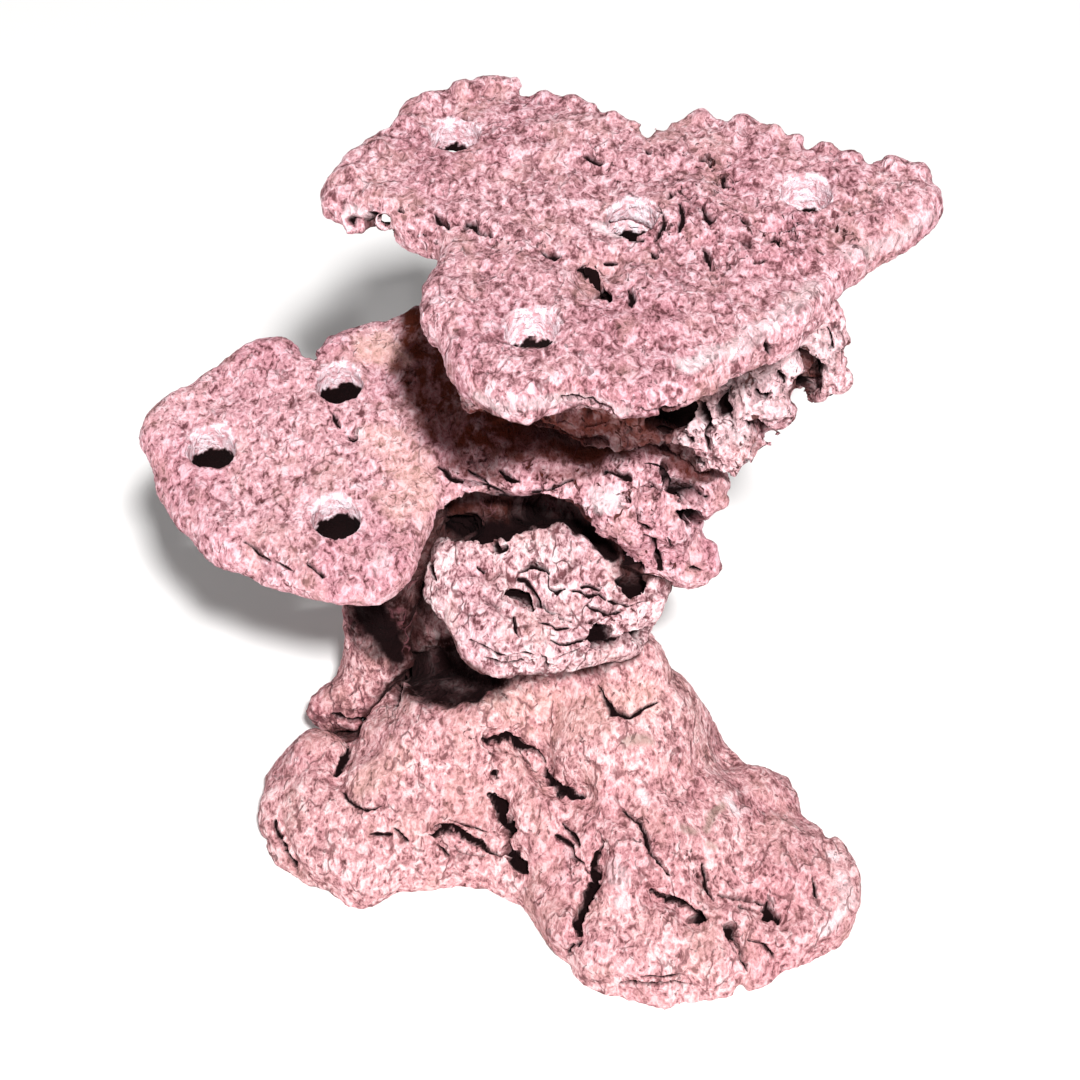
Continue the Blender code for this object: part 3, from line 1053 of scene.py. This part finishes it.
@dataclass
class TopShelf(Rock):
    """The flat rock on top, with four bores and a worn, pitted patch on its right."""

    node: str = "top_shelf_rock"
    seed: float = 1.0
    finish: ReefRock = ReefRock("top_shelf_rock", high="f3ced5", middle="d39da5", between="aa787e", creases=0.5)
    skin: float = 0.79
    relief: Relief = Relief(swell=0.6, pit_share=0.06, crumb=2.1)
    bores: tuple[Bore, ...] = (
        Bore(-19.73, 57.89, 8.8),
        Bore(27.27, 21.89, 12.0),
        Bore(73.27, 31.89, 11.0),
        Bore(1.27, -22.11, 9.4),
    )
    cracks: tuple[Crack, ...] = (
        Crack(((587, 265), (592, 274), (597, 281), (596, 289), (609, 296)), 1.7, 4.0),
        Crack(((588, 262), (586, 270)), 1.5, 3.0, 0.4),
        Crack(((606, 262), (616, 264)), 0.7, 1.4, 0.4),
        Crack(((562, 396), (580, 398), (598, 405), (610, 414)), 1.0, 3.0, 0.3),
        Crack(((705, 249), (713, 258), (715, 269)), 1.4, 3.5, 0.4),
        Crack(((701, 205), (706, 212), (714, 220)), 1.3, 3.0, 0.4),
        Crack(((703, 152), (708, 163)), 1.2, 3.0, 0.4),
        Crack(((668, 189), (673, 194)), 1.3, 3.0, 0.4),
        Crack(((681, 200), (683, 215), (677, 230)), 0.9, 1.6, 0.5),
        Crack(((584, 152), (593, 156), (603, 162)), 1.2, 2.4, 0.5),
        Crack(((644, 150), (650, 154)), 1.0, 2.0, 0.3),
        Crack(((437, 212), (443, 225)), 1.8, 3.0, 0.5),
        Crack(((464, 221), (474, 222), (481, 227), (492, 234)), 1.4, 3.0, 0.5),
        Crack(((400, 205), (404, 211)), 1.0, 2.0, 0.3),
        Crack(((540, 247), (552, 254), (560, 256)), 1.1, 1.8, 0.5),
        Crack(((773, 232), (779, 238)), 1.3, 3.0, 0.3),
        Crack(((793, 231), (797, 236)), 1.2, 2.6, 0.3),
        Crack(((814, 221), (818, 226)), 1.1, 2.2, 0.3),
        Crack(((757, 262), (762, 258)), 1.2, 2.4, 0.3),
        Crack(((652, 252), (658, 258)), 1.1, 2.4, 0.3),
        Crack(((628, 286), (633, 304)), 1.2, 2.4, 0.4),
        Crack(((725, 175), (731, 183)), 1.0, 2.2, 0.3),
        Crack(((745, 215), (752, 222)), 1.2, 2.4, 0.3),
        Crack(((610, 222), (616, 230), (628, 238), (642, 240)), 0.8, 1.8, 0.3),
        Crack(((658, 205), (663, 222), (656, 240)), 0.8, 1.6, 0.3),
        Crack(((346, 220), (362, 227), (378, 230)), 2.2, 5.0, 0.4),
        Crack(((367, 214), (375, 221)), 1.6, 4.0, 0.4),
        Crack(((381, 232), (392, 238)), 1.3, 2.4, 0.4),
        Crack(((768, 342), (771, 357)), 1.2, 3.0, 0.5),
        Crack(((640, 408), (662, 414), (684, 404)), 1.0, 2.2, 0.3),
    )
    patches: tuple[Patch, ...] = (
        # Whitish patches; those along the rims are partly painted highlight.
        Patch(Mark.PALE_AND_HIGHLIGHT, ((478, 398), (505, 408), (535, 404), (575, 399), (625, 411)), 2.6, 0.5),
        Patch(Mark.PALE_AND_HIGHLIGHT, ((685, 365), (705, 358)), 3.4, 0.9),
        Patch(Mark.PALE_AND_HIGHLIGHT, ((705, 352), (745, 348)), 3.2, 0.5),
        Patch(Mark.PALE_AND_HIGHLIGHT, ((600, 225), (620, 235)), 2.8, 0.8),
        Patch(Mark.PALE_AND_HIGHLIGHT, ((350, 212), (375, 222)), 2.8, 0.6),
        Patch(Mark.PALE_AND_HIGHLIGHT, ((850, 255), (900, 240), (930, 215)), 4.0, 0.4),
        Patch(Mark.PALE_AND_HIGHLIGHT, ((740, 345), (775, 320), (815, 285)), 4.0, 0.4),
        Patch(Mark.ROUGH, ((700, 170), (720, 215), (760, 235), (820, 225)), 15.0, 0.95),
        Patch(Mark.ROUGH, ((600, 160), (640, 190), (680, 250)), 10.0, 0.6),
        Patch(Mark.ROUGH, ((420, 215), (480, 228), (590, 275), (650, 290)), 8.0, 0.5),
        Patch(Mark.ROUGH, ((450, 390), (520, 410), (600, 408), (680, 402), (750, 370)), 4.5, 0.5),
        Patch(Mark.ROUGH, ((345, 215), (380, 228), (430, 250)), 5.0, 0.6),
        # Painted shade under the front rim.
        Patch(Mark.BROWN, ((482, 421), (520, 426), (560, 415), (590, 411)), 2.8, 0.9),
        Patch(Mark.BROWN, ((640, 424), (690, 408)), 2.2, 0.8),
    )
    lobes: tuple[Lobe, ...] = (
        Lobe((500, 403), 3.6, 1.3),
        Lobe((524, 410), 3.4, 1.3),
        Lobe((556, 402), 3.2, 1.1),
        Lobe((590, 404), 3.4, 1.2),
        Lobe((618, 413), 3.4, 1.4),
        Lobe((652, 404), 3.2, 1.2),
        Lobe((683, 398), 3.2, 1.2),
        Lobe((712, 388), 3.4, 1.3),
        Lobe((742, 370), 3.4, 1.3),
        Lobe((425, 290), 3.0, 1.1),
        Lobe((424, 318), 3.0, 1.1),
        Lobe((432, 345), 3.0, 1.1),
        Lobe((800, 310), 3.6, 1.2),
        Lobe((860, 260), 3.6, 1.2),
        Lobe((895, 250), 3.4, 1.2),
        Lobe((365, 229), 3.0, 1.8),
        Lobe((463, 88), 4.6, 2.0),
        Lobe((495, 83), 4.8, 2.0),
        Lobe((512, 84), 3.2, 2.0),
        Lobe((542, 96), 4.2, 1.8),
        Lobe((570, 101), 4.2, 1.8),
        Lobe((590, 109), 3.0, 1.8),
        Lobe((613, 118), 3.0, 2.0),
        Lobe((634, 126), 2.8, 2.0),
        Lobe((674, 124), 4.2, 1.8),
        Lobe((700, 117), 4.6, 2.0),
        Lobe((742, 121), 3.8, 2.0),
        Lobe((774, 129), 3.0, 2.0),
        Lobe((797, 140), 3.0, 2.0),
        Lobe((826, 149), 4.4, 2.0),
        Lobe((852, 156), 4.2, 2.0),
        Lobe((893, 163), 4.8, 2.0),
        Lobe((925, 172), 4.4, 2.0),
        Lobe((372, 190), 4.0),
        Lobe((352, 168), 4.0, 1.6),
        Lobe((380, 146), 3.6, 1.6),
        Lobe((405, 122), 4.2, 1.8),
        Lobe((430, 98), 4.0, 1.6),
    )
    notches: tuple[Notch, ...] = (
        Notch((524, 92)),
        Notch((602, 111)),
        Notch((647, 131), 2.0),
        Notch((726, 120), 1.0),
        Notch((760, 122), 1.0),
        Notch((809, 141)),
        Notch((869, 158), 1.4),
        Notch((412, 104), 1.0),
        Notch((385, 220), 1.6),
    )


@dataclass
class SideShelf(Rock):
    """The flat rock on the left with three bores, and its rough leg on the right."""

    node: str = "side_shelf_rock"
    seed: float = 2.0
    finish: ReefRock = ReefRock(
        "side_shelf_rock",
        high="f4d0d7",
        middle="dba5ad",
        between="ba878e",
        brown_stain_and_shade="5c281b",
        painted_shelter_shade="4a1c14",
        creases=0.45,
    )
    skin: float = 0.73
    relief: Relief = Relief(swell=0.5, knob=0.5, grain=0.3, pit_share=0.02)
    bores: tuple[Bore, ...] = (
        Bore(-88.73, 22.89, 7.0),
        Bore(-53.73, 45.89, 7.5),
        Bore(-52.73, -2.11, 6.0),
    )
    cracks: tuple[Crack, ...] = (
        Crack(((244, 538), (252, 543), (260, 552), (267, 562)), 0.9, 3.0),
        Crack(((275, 562), (290, 570)), 0.6, 1.5),
        Crack(((308, 559), (313, 570), (322, 578)), 0.8, 2.5),
        Crack(((333, 411), (341, 425)), 0.7, 1.6),
        Crack(((349, 434), (354, 440)), 0.8, 2.0),
        Crack(((308, 347), (312, 356)), 1.8, 3.0),
        Crack(((625, 575), (642, 579)), 3.0, 7.0),
        Crack(((655, 559), (660, 574)), 1.4, 4.0),
        Crack(((625, 497), (629, 502)), 1.2, 3.5),
        Crack(((655, 480), (658, 496)), 2.0, 6.0),
        Crack(((666, 458), (668, 476), (680, 487), (697, 487)), 2.5, 8.0),
        Crack(((686, 497), (706, 494)), 2.6, 7.0),
        Crack(((682, 514), (692, 520), (706, 528)), 2.4, 7.0),
        Crack(((643, 539), (652, 544), (657, 560)), 0.8, 3.0),
        Crack(((642, 522), (650, 530)), 1.0, 3.0),
        Crack(((668, 540), (672, 552)), 0.8, 2.5),
        Crack(((600, 540), (612, 546), (622, 556)), 0.9, 2.5),
        Crack(((690, 569), (706, 571)), 0.8, 2.5),
        Crack(((440, 524), (465, 509), (500, 506), (530, 507), (565, 515), (592, 536)), 5.0, 8.0, 0.0),
        Crack(((438, 466), (452, 478), (478, 482), (500, 492)), 0.8, 2.5),
        Crack(((530, 491), (552, 484), (572, 478)), 0.8, 2.5),
        Crack(((500, 470), (508, 474), (518, 476)), 1.0, 2.5),
        Crack(((466, 466), (482, 478), (487, 490)), 0.8, 2.5),
        Crack(((600, 470), (616, 474), (632, 480)), 1.0, 2.5),
    )
    patches: tuple[Patch, ...] = (
        Patch(Mark.WARM, ((372, 345), (392, 350)), 9.0, 0.7),
        Patch(Mark.WARM, ((385, 440), (415, 480), (405, 500)), 10.0, 0.5),
        # Brownish stain and painted shade where the top shelf shades this shelf and its neck.
        Patch(Mark.BROWN, ((418, 325), (424, 375), (436, 412), (462, 436), (492, 446)), 10.5, 1.0),
        Patch(Mark.BROWN, ((448, 350), (455, 400), (500, 428)), 13.0, 1.0),
        Patch(Mark.BROWN, ((500, 450), (560, 452), (620, 446)), 5.0, 0.9),
        Patch(Mark.BROWN, ((455, 462), (490, 470)), 4.5, 0.7),
        Patch(Mark.BROWN, ((540, 474), (590, 470)), 3.0, 0.5),
        Patch(Mark.PALE_AND_HIGHLIGHT, ((600, 498), (610, 500)), 4.5, 0.9),
        Patch(Mark.PALE_AND_HIGHLIGHT, ((359, 433),), 2.2, 0.9),
        Patch(Mark.PALE_AND_HIGHLIGHT, ((380, 560), (388, 600)), 4.0, 0.35),
        Patch(Mark.ROUGH, ((600, 490), (650, 500), (700, 500)), 16.0, 0.9),
        Patch(Mark.ROUGH, ((620, 540), (680, 560)), 16.0, 0.8),
        Patch(Mark.ROUGH, ((470, 470), (520, 478), (590, 478)), 9.0, 0.95),
        Patch(Mark.ROUGH, ((420, 350), (440, 430)), 10.0, 0.6),
    )
    lobes: tuple[Lobe, ...] = (
        Lobe((359, 433), 2.4, 1.2),
        Lobe((722, 482), 3.4, 1.6),
        Lobe((724, 505), 3.0, 1.4),
        Lobe((712, 545), 3.4, 1.5),
        Lobe((717, 570), 3.4, 1.5),
        Lobe((600, 500), 4.0, 1.4),
        Lobe((640, 520), 3.4, 1.4),
        Lobe((670, 545), 3.6, 1.4),
    )
    notches: tuple[Notch, ...] = (Notch((309, 349), 1.5), Notch((708, 530), 2.0), Notch((734, 492), 1.2))


@dataclass
class Ledge(Rock):
    """The tilted, bowl-like rock in the middle."""

    node: str = "ledge_rock"
    seed: float = 3.0
    finish: ReefRock = ReefRock("ledge_rock", high="fce6e8", middle="e6bcc0", between="bb8f94", low="74494d")
    skin: float = 0.55
    relief: Relief = Relief(swell=0.8, knob=0.5, flake=0.9, flake_size=14.0, pit_share=0.03)
    cracks: tuple[Crack, ...] = (
        Crack(((520, 569), (532, 564), (541, 566), (547, 573)), 1.0, 3.0),
        Crack(((518, 577), (527, 582), (531, 592), (540, 600), (549, 606), (563, 607)), 0.9, 3.0),
        Crack(((562, 612), (572, 619)), 1.0, 2.5),
        Crack(((502, 595), (512, 591), (521, 595), (533, 607)), 1.6, 5.0),
        Crack(((546, 575), (548, 586), (558, 589), (566, 586)), 0.6, 2.0),
        Crack(((573, 588), (588, 594), (600, 592), (607, 599)), 0.7, 2.0),
        Crack(((580, 584), (592, 583), (600, 588)), 0.6, 1.5),
        Crack(((492, 540), (496, 548), (506, 543)), 1.2, 3.0),
        Crack(((602, 628), (605, 644), (616, 641)), 2.8, 7.0),
        Crack(((612, 645), (634, 641), (662, 632)), 1.6, 5.0, 0.3),
        Crack(((533, 656), (542, 661), (545, 671)), 1.4, 4.0),
        Crack(((512, 615), (516, 630), (520, 640)), 0.5, 1.4),
        Crack(((625, 580), (640, 583)), 3.2, 8.0),
        Crack(
            ((430, 534), (470, 525), (506, 524), (528, 512), (550, 507), (572, 514), (598, 536), (614, 556)),
            width=4.0,
            depth=5.5,
            valley=0.0,
        ),
        Crack(((478, 566), (486, 573)), 0.6, 1.5),
        Crack(((428, 560), (433, 580)), 0.7, 1.8),
        Crack(((468, 640), (490, 652), (512, 657), (530, 655)), 0.5, 1.6),
        Crack(((482, 660), (505, 666), (525, 664)), 0.5, 1.6),
        Crack(((585, 606), (604, 612), (622, 610)), 0.6, 2.0),
        Crack(((552, 640), (575, 640), (596, 632)), 0.5, 1.6),
        Crack(((560, 655), (580, 650), (592, 645)), 0.5, 1.6),
        Crack(((610, 600), (630, 604), (648, 600)), 0.6, 1.8),
        Crack(((540, 622), (556, 628), (570, 626)), 0.5, 1.5),
    )
    patches: tuple[Patch, ...] = (
        # Painted highlight along the lower rim, faint.
        Patch(Mark.PALE_AND_HIGHLIGHT, ((440, 602), (460, 632), (500, 655), (545, 668)), 3.0, 0.15),
        # Painted shade in the band under the arch and along the lower rim.
        Patch(Mark.BROWN, ((436, 534), (465, 531), (498, 534)), 3.6, 0.9),
        Patch(Mark.BROWN, ((448, 506), (500, 509), (552, 511)), 6.0, 1.0),
        Patch(Mark.BROWN, ((440, 640), (470, 668), (510, 682), (560, 677), (610, 664)), 2.8, 0.9),
        Patch(Mark.ROUGH, ((430, 540), (480, 540)), 8.0, 0.8),
        Patch(Mark.ROUGH, ((600, 570), (640, 600), (600, 640)), 9.0, 0.6),
        Patch(Mark.ROUGH, ((560, 590), (590, 592)), 4.0, 0.6),
        Patch(Mark.ROUGH, ((480, 655), (540, 668)), 3.0, 0.6),
    )
    rough: float = 0.12


@dataclass
class Pillar(Rock):
    """The rough rock between the two shelves."""

    node: str = "pillar_rock"
    seed: float = 4.0
    finish: ReefRock = ReefRock(
        "pillar_rock",
        high="fce2e6",
        middle="e5b5bb",
        between="b8898e",
        low="6a4347",
        brown_stain_and_shade="7a3c31",
        painted_shelter_shade="522823",
    )
    skin: float = 0.71
    relief: Relief = Relief(swell=1.0, knob=0.9, crumb=1.8, crumb_size=4.2, pit_share=0.1)
    bores: tuple[Bore, ...] = (Bore(27.27, 21.89, 2.5, bottom=172.0), Bore(73.27, 31.89, 3.0, bottom=172.0))
    cracks: tuple[Crack, ...] = (
        Crack(((728, 388), (721, 400), (718, 420)), 1.7, 5.0),
        Crack(((754, 391), (763, 398), (772, 393)), 1.2, 4.0),
        Crack(((757, 429), (762, 434), (770, 436)), 2.0, 6.0),
        Crack(((788, 350), (778, 356)), 1.4, 4.0),
        Crack(((698, 405), (706, 428), (713, 453)), 1.3, 4.0),
        Crack(((797, 358), (808, 370), (820, 384)), 3.0, 8.0),
        Crack(((470, 425), (540, 440), (620, 434)), 8.5, 5.0, 0.0, 0.1),
        Crack(((652, 426), (672, 420), (692, 410)), 3.2, 7.0, 0.0),
        Crack(((662, 446), (668, 460), (676, 474)), 3.2, 8.0, 0.0),
        Crack(((806, 388), (812, 380)), 2.4, 6.0, 0.0),
        Crack(((694, 480), (712, 478), (730, 478)), 1.1, 4.0),
        Crack(((746, 426), (752, 432)), 0.8, 2.5),
        Crack(((677, 432), (690, 444)), 1.0, 3.0),
        Crack(((690, 452), (700, 466)), 0.7, 2.5),
        Crack(((780, 374), (786, 384)), 1.0, 3.0),
        Crack(((828, 330), (834, 348)), 0.8, 2.0),
        Crack(((745, 466), (752, 460)), 1.2, 3.0),
    )
    patches: tuple[Patch, ...] = (
        Patch(Mark.PALE_AND_HIGHLIGHT, ((725, 425), (742, 440)), 4.0, 0.6),
        Patch(Mark.PALE_AND_HIGHLIGHT, ((735, 385), (770, 375)), 3.6, 0.4),
        Patch(Mark.PALE_AND_HIGHLIGHT, ((700, 425), (760, 400), (820, 350)), 12.0, 0.3),
        # Brownish stain and painted shade on the front under the top shelf.
        Patch(Mark.BROWN, ((480, 425), (560, 440), (645, 425)), 12.0, 0.95),
        Patch(Mark.BROWN, ((665, 420), (690, 400)), 4.0, 0.8),
    )
    lobes: tuple[Lobe, ...] = (
        Lobe((845, 345), 4.4, 1.4),
        Lobe((838, 385), 4.0, 1.4),
        Lobe((790, 407), 4.0, 1.6),
        Lobe((772, 440), 4.0, 1.6),
        Lobe((748, 462), 3.6, 1.6),
        Lobe((740, 420), 4.0, 1.4),
        Lobe((700, 440), 3.6, 1.4),
        Lobe((760, 370), 3.6, 1.4),
    )
    notches: tuple[Notch, ...] = (
        Notch((798, 397), 2.7, 50.0),
        Notch((801, 406), 2.6, 50.0),
        Notch((771, 437), 1.8),
        Notch((748, 470), 1.4),
        Notch((856, 352), 1.6),
    )
    rough: float = 0.85


@dataclass
class Foot(Rock):
    """The lobed rock that the tower stands on."""

    node: str = "foot_rock"
    seed: float = 5.0
    finish: ReefRock = ReefRock(
        "foot_rock", high="f4d2d3", middle="dba5a8", between="ba8689", low="7c5052", brown_stain_and_shade="260c0b", creases=0.75
    )
    skin: float = 0.87
    relief: Relief = Relief(swell=0.7, swell_size=20.0, knob=0.5, knob_size=5.5, grain=0.3, pit_share=0.03)
    cracks: tuple[Crack, ...] = (
        Crack(((491, 795), (500, 808), (504, 830)), 0.9, 3.5),
        Crack(((503, 822), (505, 836), (503, 848), (510, 858), (522, 868)), 1.3, 3.5),
        Crack(((440, 828), (458, 833), (474, 842), (497, 850)), 0.6, 2.5),
        Crack(((430, 836), (445, 832), (460, 836)), 0.5, 2.0),
        Crack(((452, 822), (470, 826), (480, 832)), 0.5, 2.0),
        Crack(((459, 842), (466, 850), (484, 852)), 0.5, 1.5),
        Crack(((437, 847), (449, 856)), 0.7, 2.5),
        Crack(((541, 765), (546, 780), (560, 790), (584, 796)), 0.8, 3.0),
        Crack(((486, 739), (500, 741), (508, 737), (522, 744), (530, 750), (541, 761)), 0.8, 2.5),
        Crack(((500, 738), (514, 743)), 1.0, 2.5),
        Crack(((495, 771), (497, 775)), 1.0, 3.0),
        Crack(((557, 836), (565, 845), (571, 860)), 1.0, 3.5),
        Crack(((563, 820), (568, 833), (577, 846)), 0.7, 2.5),
        Crack(((597, 853), (596, 872), (589, 888), (582, 908), (578, 934)), 1.1, 4.0),
        Crack(((600, 838), (599, 852)), 0.5, 2.0),
        Crack(((566, 852), (578, 860), (590, 874)), 0.5, 2.0),
        Crack(((565, 955), (569, 948), (577, 940)), 0.8, 2.5),
        Crack(((273, 820), (278, 842), (287, 858), (296, 872)), 1.2, 3.5),
        Crack(((350, 743), (336, 775)), 0.9, 2.0),
        Crack(((341, 791), (352, 804), (362, 810), (382, 805)), 0.7, 1.5),
        Crack(((367, 835), (389, 835)), 0.7, 2.5),
        Crack(((392, 828), (409, 844)), 0.8, 2.5),
        Crack(((325, 721), (350, 720), (364, 720)), 0.6, 1.5),
        Crack(((398, 674), (392, 695), (386, 712)), 1.4, 4.0),
        Crack(((651, 890), (668, 899), (684, 905), (694, 915)), 0.8, 3.0),
        Crack(((696, 914), (697, 922)), 2.7, 5.5, 0.4),
        Crack(((734, 924), (739, 940), (748, 972)), 0.8, 3.0),
        Crack(((735, 929),), 2.5, 4.5, 0.4),
        Crack(((620, 811), (638, 819), (647, 833), (648, 849), (662, 861), (671, 874)), 0.8, 3.0),
        Crack(((706, 862), (707, 885), (715, 897)), 0.8, 2.5),
        Crack(((721, 892), (742, 894), (766, 902)), 0.7, 2.5),
        Crack(((742, 902), (758, 908)), 0.6, 2.0),
        Crack(((770, 897), (772, 910), (779, 922)), 1.2, 3.5),
        Crack(((750, 938), (764, 946), (777, 960)), 0.6, 2.0),
        Crack(((815, 877), (817, 898)), 0.7, 1.8),
        Crack(((595, 687), (602, 702), (612, 709), (633, 714), (659, 700)), 0.9, 2.2),
        Crack(((667, 730), (668, 734)), 1.2, 3.5),
        Crack(((508, 860), (524, 870)), 1.6, 4.0),
        Crack(((405, 668), (440, 676), (487, 680)), 8.4, 5.0, 0.0, 0.9),
        Crack(((620, 985), (650, 988), (690, 985)), 0.6, 1.8),
        Crack(((640, 978), (680, 976)), 0.5, 1.5),
    )
    patches: tuple[Patch, ...] = (
        Patch(Mark.WARM, ((510, 705), (580, 712), (640, 700)), 10.0, 0.4),
        Patch(Mark.WARM, ((390, 760), (370, 780)), 8.0, 0.4),
        Patch(Mark.GREY, ((628, 742), (648, 738)), 2.6, 0.9),
        Patch(Mark.GREY, ((722, 806), (712, 814), (706, 830)), 2.0, 0.9),
        Patch(Mark.GREY, ((684, 828), (694, 832)), 2.2, 0.8),
        Patch(Mark.GREY, ((709, 842), (716, 846)), 1.4, 0.8),
        # Whitish patches, partly painted highlight.
        Patch(Mark.PALE_AND_HIGHLIGHT, ((642, 791), (647, 800)), 1.8, 1.0),
        Patch(Mark.PALE_AND_HIGHLIGHT, ((728, 800), (736, 812)), 2.2, 1.0),
        Patch(Mark.PALE_AND_HIGHLIGHT, ((829, 855), (836, 858)), 2.0, 1.0),
        Patch(Mark.PALE_AND_HIGHLIGHT, ((822, 930), (838, 918), (846, 905)), 2.6, 0.8),
        Patch(Mark.PALE_AND_HIGHLIGHT, ((842, 880), (850, 900)), 4.0, 0.4),
        Patch(Mark.PALE_AND_HIGHLIGHT, ((622, 902),), 3.4, 0.9),
        Patch(Mark.PALE_AND_HIGHLIGHT, ((606, 868), (620, 880)), 3.6, 0.4),
        # Painted shade in the recess under the ledge and the side shelf.
        Patch(Mark.BROWN, ((408, 678), (430, 687), (465, 691), (500, 680)), 8.0, 1.0),
        Patch(Mark.BROWN, ((505, 674), (540, 672)), 3.0, 0.9),
        Patch(Mark.BROWN, ((410, 640), (440, 650), (480, 655)), 10.0, 1.0),
        Patch(Mark.ROUGH, ((470, 735), (520, 745), (580, 740)), 7.0, 0.6),
        Patch(Mark.ROUGH, ((450, 835), (500, 845), (560, 850)), 7.0, 0.5),
        Patch(Mark.ROUGH, ((640, 830), (700, 870), (760, 900)), 9.0, 0.5),
        Patch(Mark.ROUGH, ((500, 690), (600, 690)), 6.0, 0.5),
        Patch(Mark.ROUGH, ((480, 735), (530, 748), (560, 790)), 4.0, 0.7),
        Patch(Mark.ROUGH, ((500, 800), (510, 860), (560, 850), (590, 890)), 4.5, 0.6),
    )
    notches: tuple[Notch, ...] = (
        Notch((829, 833), 2.0, 24.0),
        Notch((566, 971), 2.2, 20.0),
        Notch((741, 995), 2.2, 20.0),
        Notch((262, 842), 1.2, 20.0),
    )
    flat_below: float = 0.05
    slack: float = 10.0


@dataclass
class RearProp(Rock):
    """The upright rock behind on the left."""

    node: str = "rear_prop_rock"
    seed: float = 6.0
    finish: ReefRock = ReefRock("rear_prop_rock", high="eac4c6", middle="cb9598", between="a26f72", brown_stain_and_shade="260c0b")
    skin: float = 0.72
    relief: Relief = Relief(pit_share=0.06)
    cracks: tuple[Crack, ...] = (
        Crack(((330, 716), (352, 722), (372, 722)), 0.9, 2.5),
        Crack(((360, 612), (380, 632), (396, 656)), 7.0, 3.0, 0.0),
    )
    patches: tuple[Patch, ...] = (
        # Painted shade where the side shelf shades the prop.
        Patch(Mark.BROWN, ((350, 596), (352, 628)), 9.0, 1.0),
        Patch(Mark.BROWN, ((375, 600), (382, 630), (400, 655)), 9.0, 1.0),
        Patch(Mark.BROWN, ((352, 640), (375, 655)), 4.0, 0.8),
        Patch(Mark.BROWN, ((395, 605), (410, 635), (408, 655)), 8.0, 1.0),
    )
    rough: float = 0.2


# ---------------------------------------------------------------- the studio


@dataclass
class Studio:
    """Floor, lights and world."""

    floor_side: float = 6.0
    key_watts: float = 142.0
    key_size: float = 0.26
    key_from: Triple = (0.36, -1.93, 2.61)
    fill_watts: float = 5.0
    fill_size: float = 1.5
    fill_from: Triple = (-1.2, -1.6, 1.2)
    sky_strength: float = 0.22
    aim: Triple = (0.0, 0.0, 0.10)
    finish: StudioPaper = StudioPaper()

    def build(self) -> None:
        """Put the floor and the lights in the scene."""
        bm = bmesh.new()
        bmesh.ops.create_grid(bm, x_segments=1, y_segments=1, size=self.floor_side / 2)
        mesh = bpy.data.meshes.new("studio_floor")
        bm.to_mesh(mesh)
        bm.free()
        floor = bpy.data.objects.new("studio_floor", mesh)
        mesh.materials.append(self.finish.material())
        bpy.context.scene.collection.objects.link(floor)
        self.add_light("key", self.key_watts, self.key_size, self.key_from)
        self.add_light("fill", self.fill_watts, self.fill_size, self.fill_from)
        world = bpy.data.worlds.new("studio")
        nodes = NodeTree(world)
        sky = nodes.add("ShaderNodeBackground", {"Color": (1.0, 1.0, 1.0, 1.0), "Strength": self.sky_strength})
        nodes.add("ShaderNodeOutputWorld", {"Surface": sky.outputs[0]})
        bpy.context.scene.world = world
        bpy.context.scene.view_settings.view_transform = "Standard"

    def add_light(self, name: str, watts: float, size: float, place: Triple) -> None:
        """Add an area light that looks at the tower.

        Args:
            name: the light's name.
            watts: its power.
            size: its side, in metres.
            place: where it stands, in metres.
        """
        data = bpy.data.lights.new(name, "AREA")
        data.energy = watts
        data.size = size
        light = bpy.data.objects.new(name, data)
        light.location = place
        light.rotation_euler = (Vector(self.aim) - light.location).to_track_quat("-Z", "Y").to_euler()
        bpy.context.scene.collection.objects.link(light)


# ---------------------------------------------------------------- all of it


def main() -> None:
    """Build the rocks and the studio round them."""
    logging.basicConfig(level=logging.INFO, format="%(name)s: %(message)s")
    noise.seed_set(NOISE_SEED)
    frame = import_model()
    shelter = Shelter(frame["nodes"].values())
    rocks: list[Rock] = [Foot(), RearProp(), Ledge(), SideShelf(), Pillar(), TopShelf()]
    for rock in rocks:
        rock.build(frame["nodes"][rock.node], shelter)
    VIEW.add_camera()
    Studio().build()


if __name__ == "__main__":
    main()
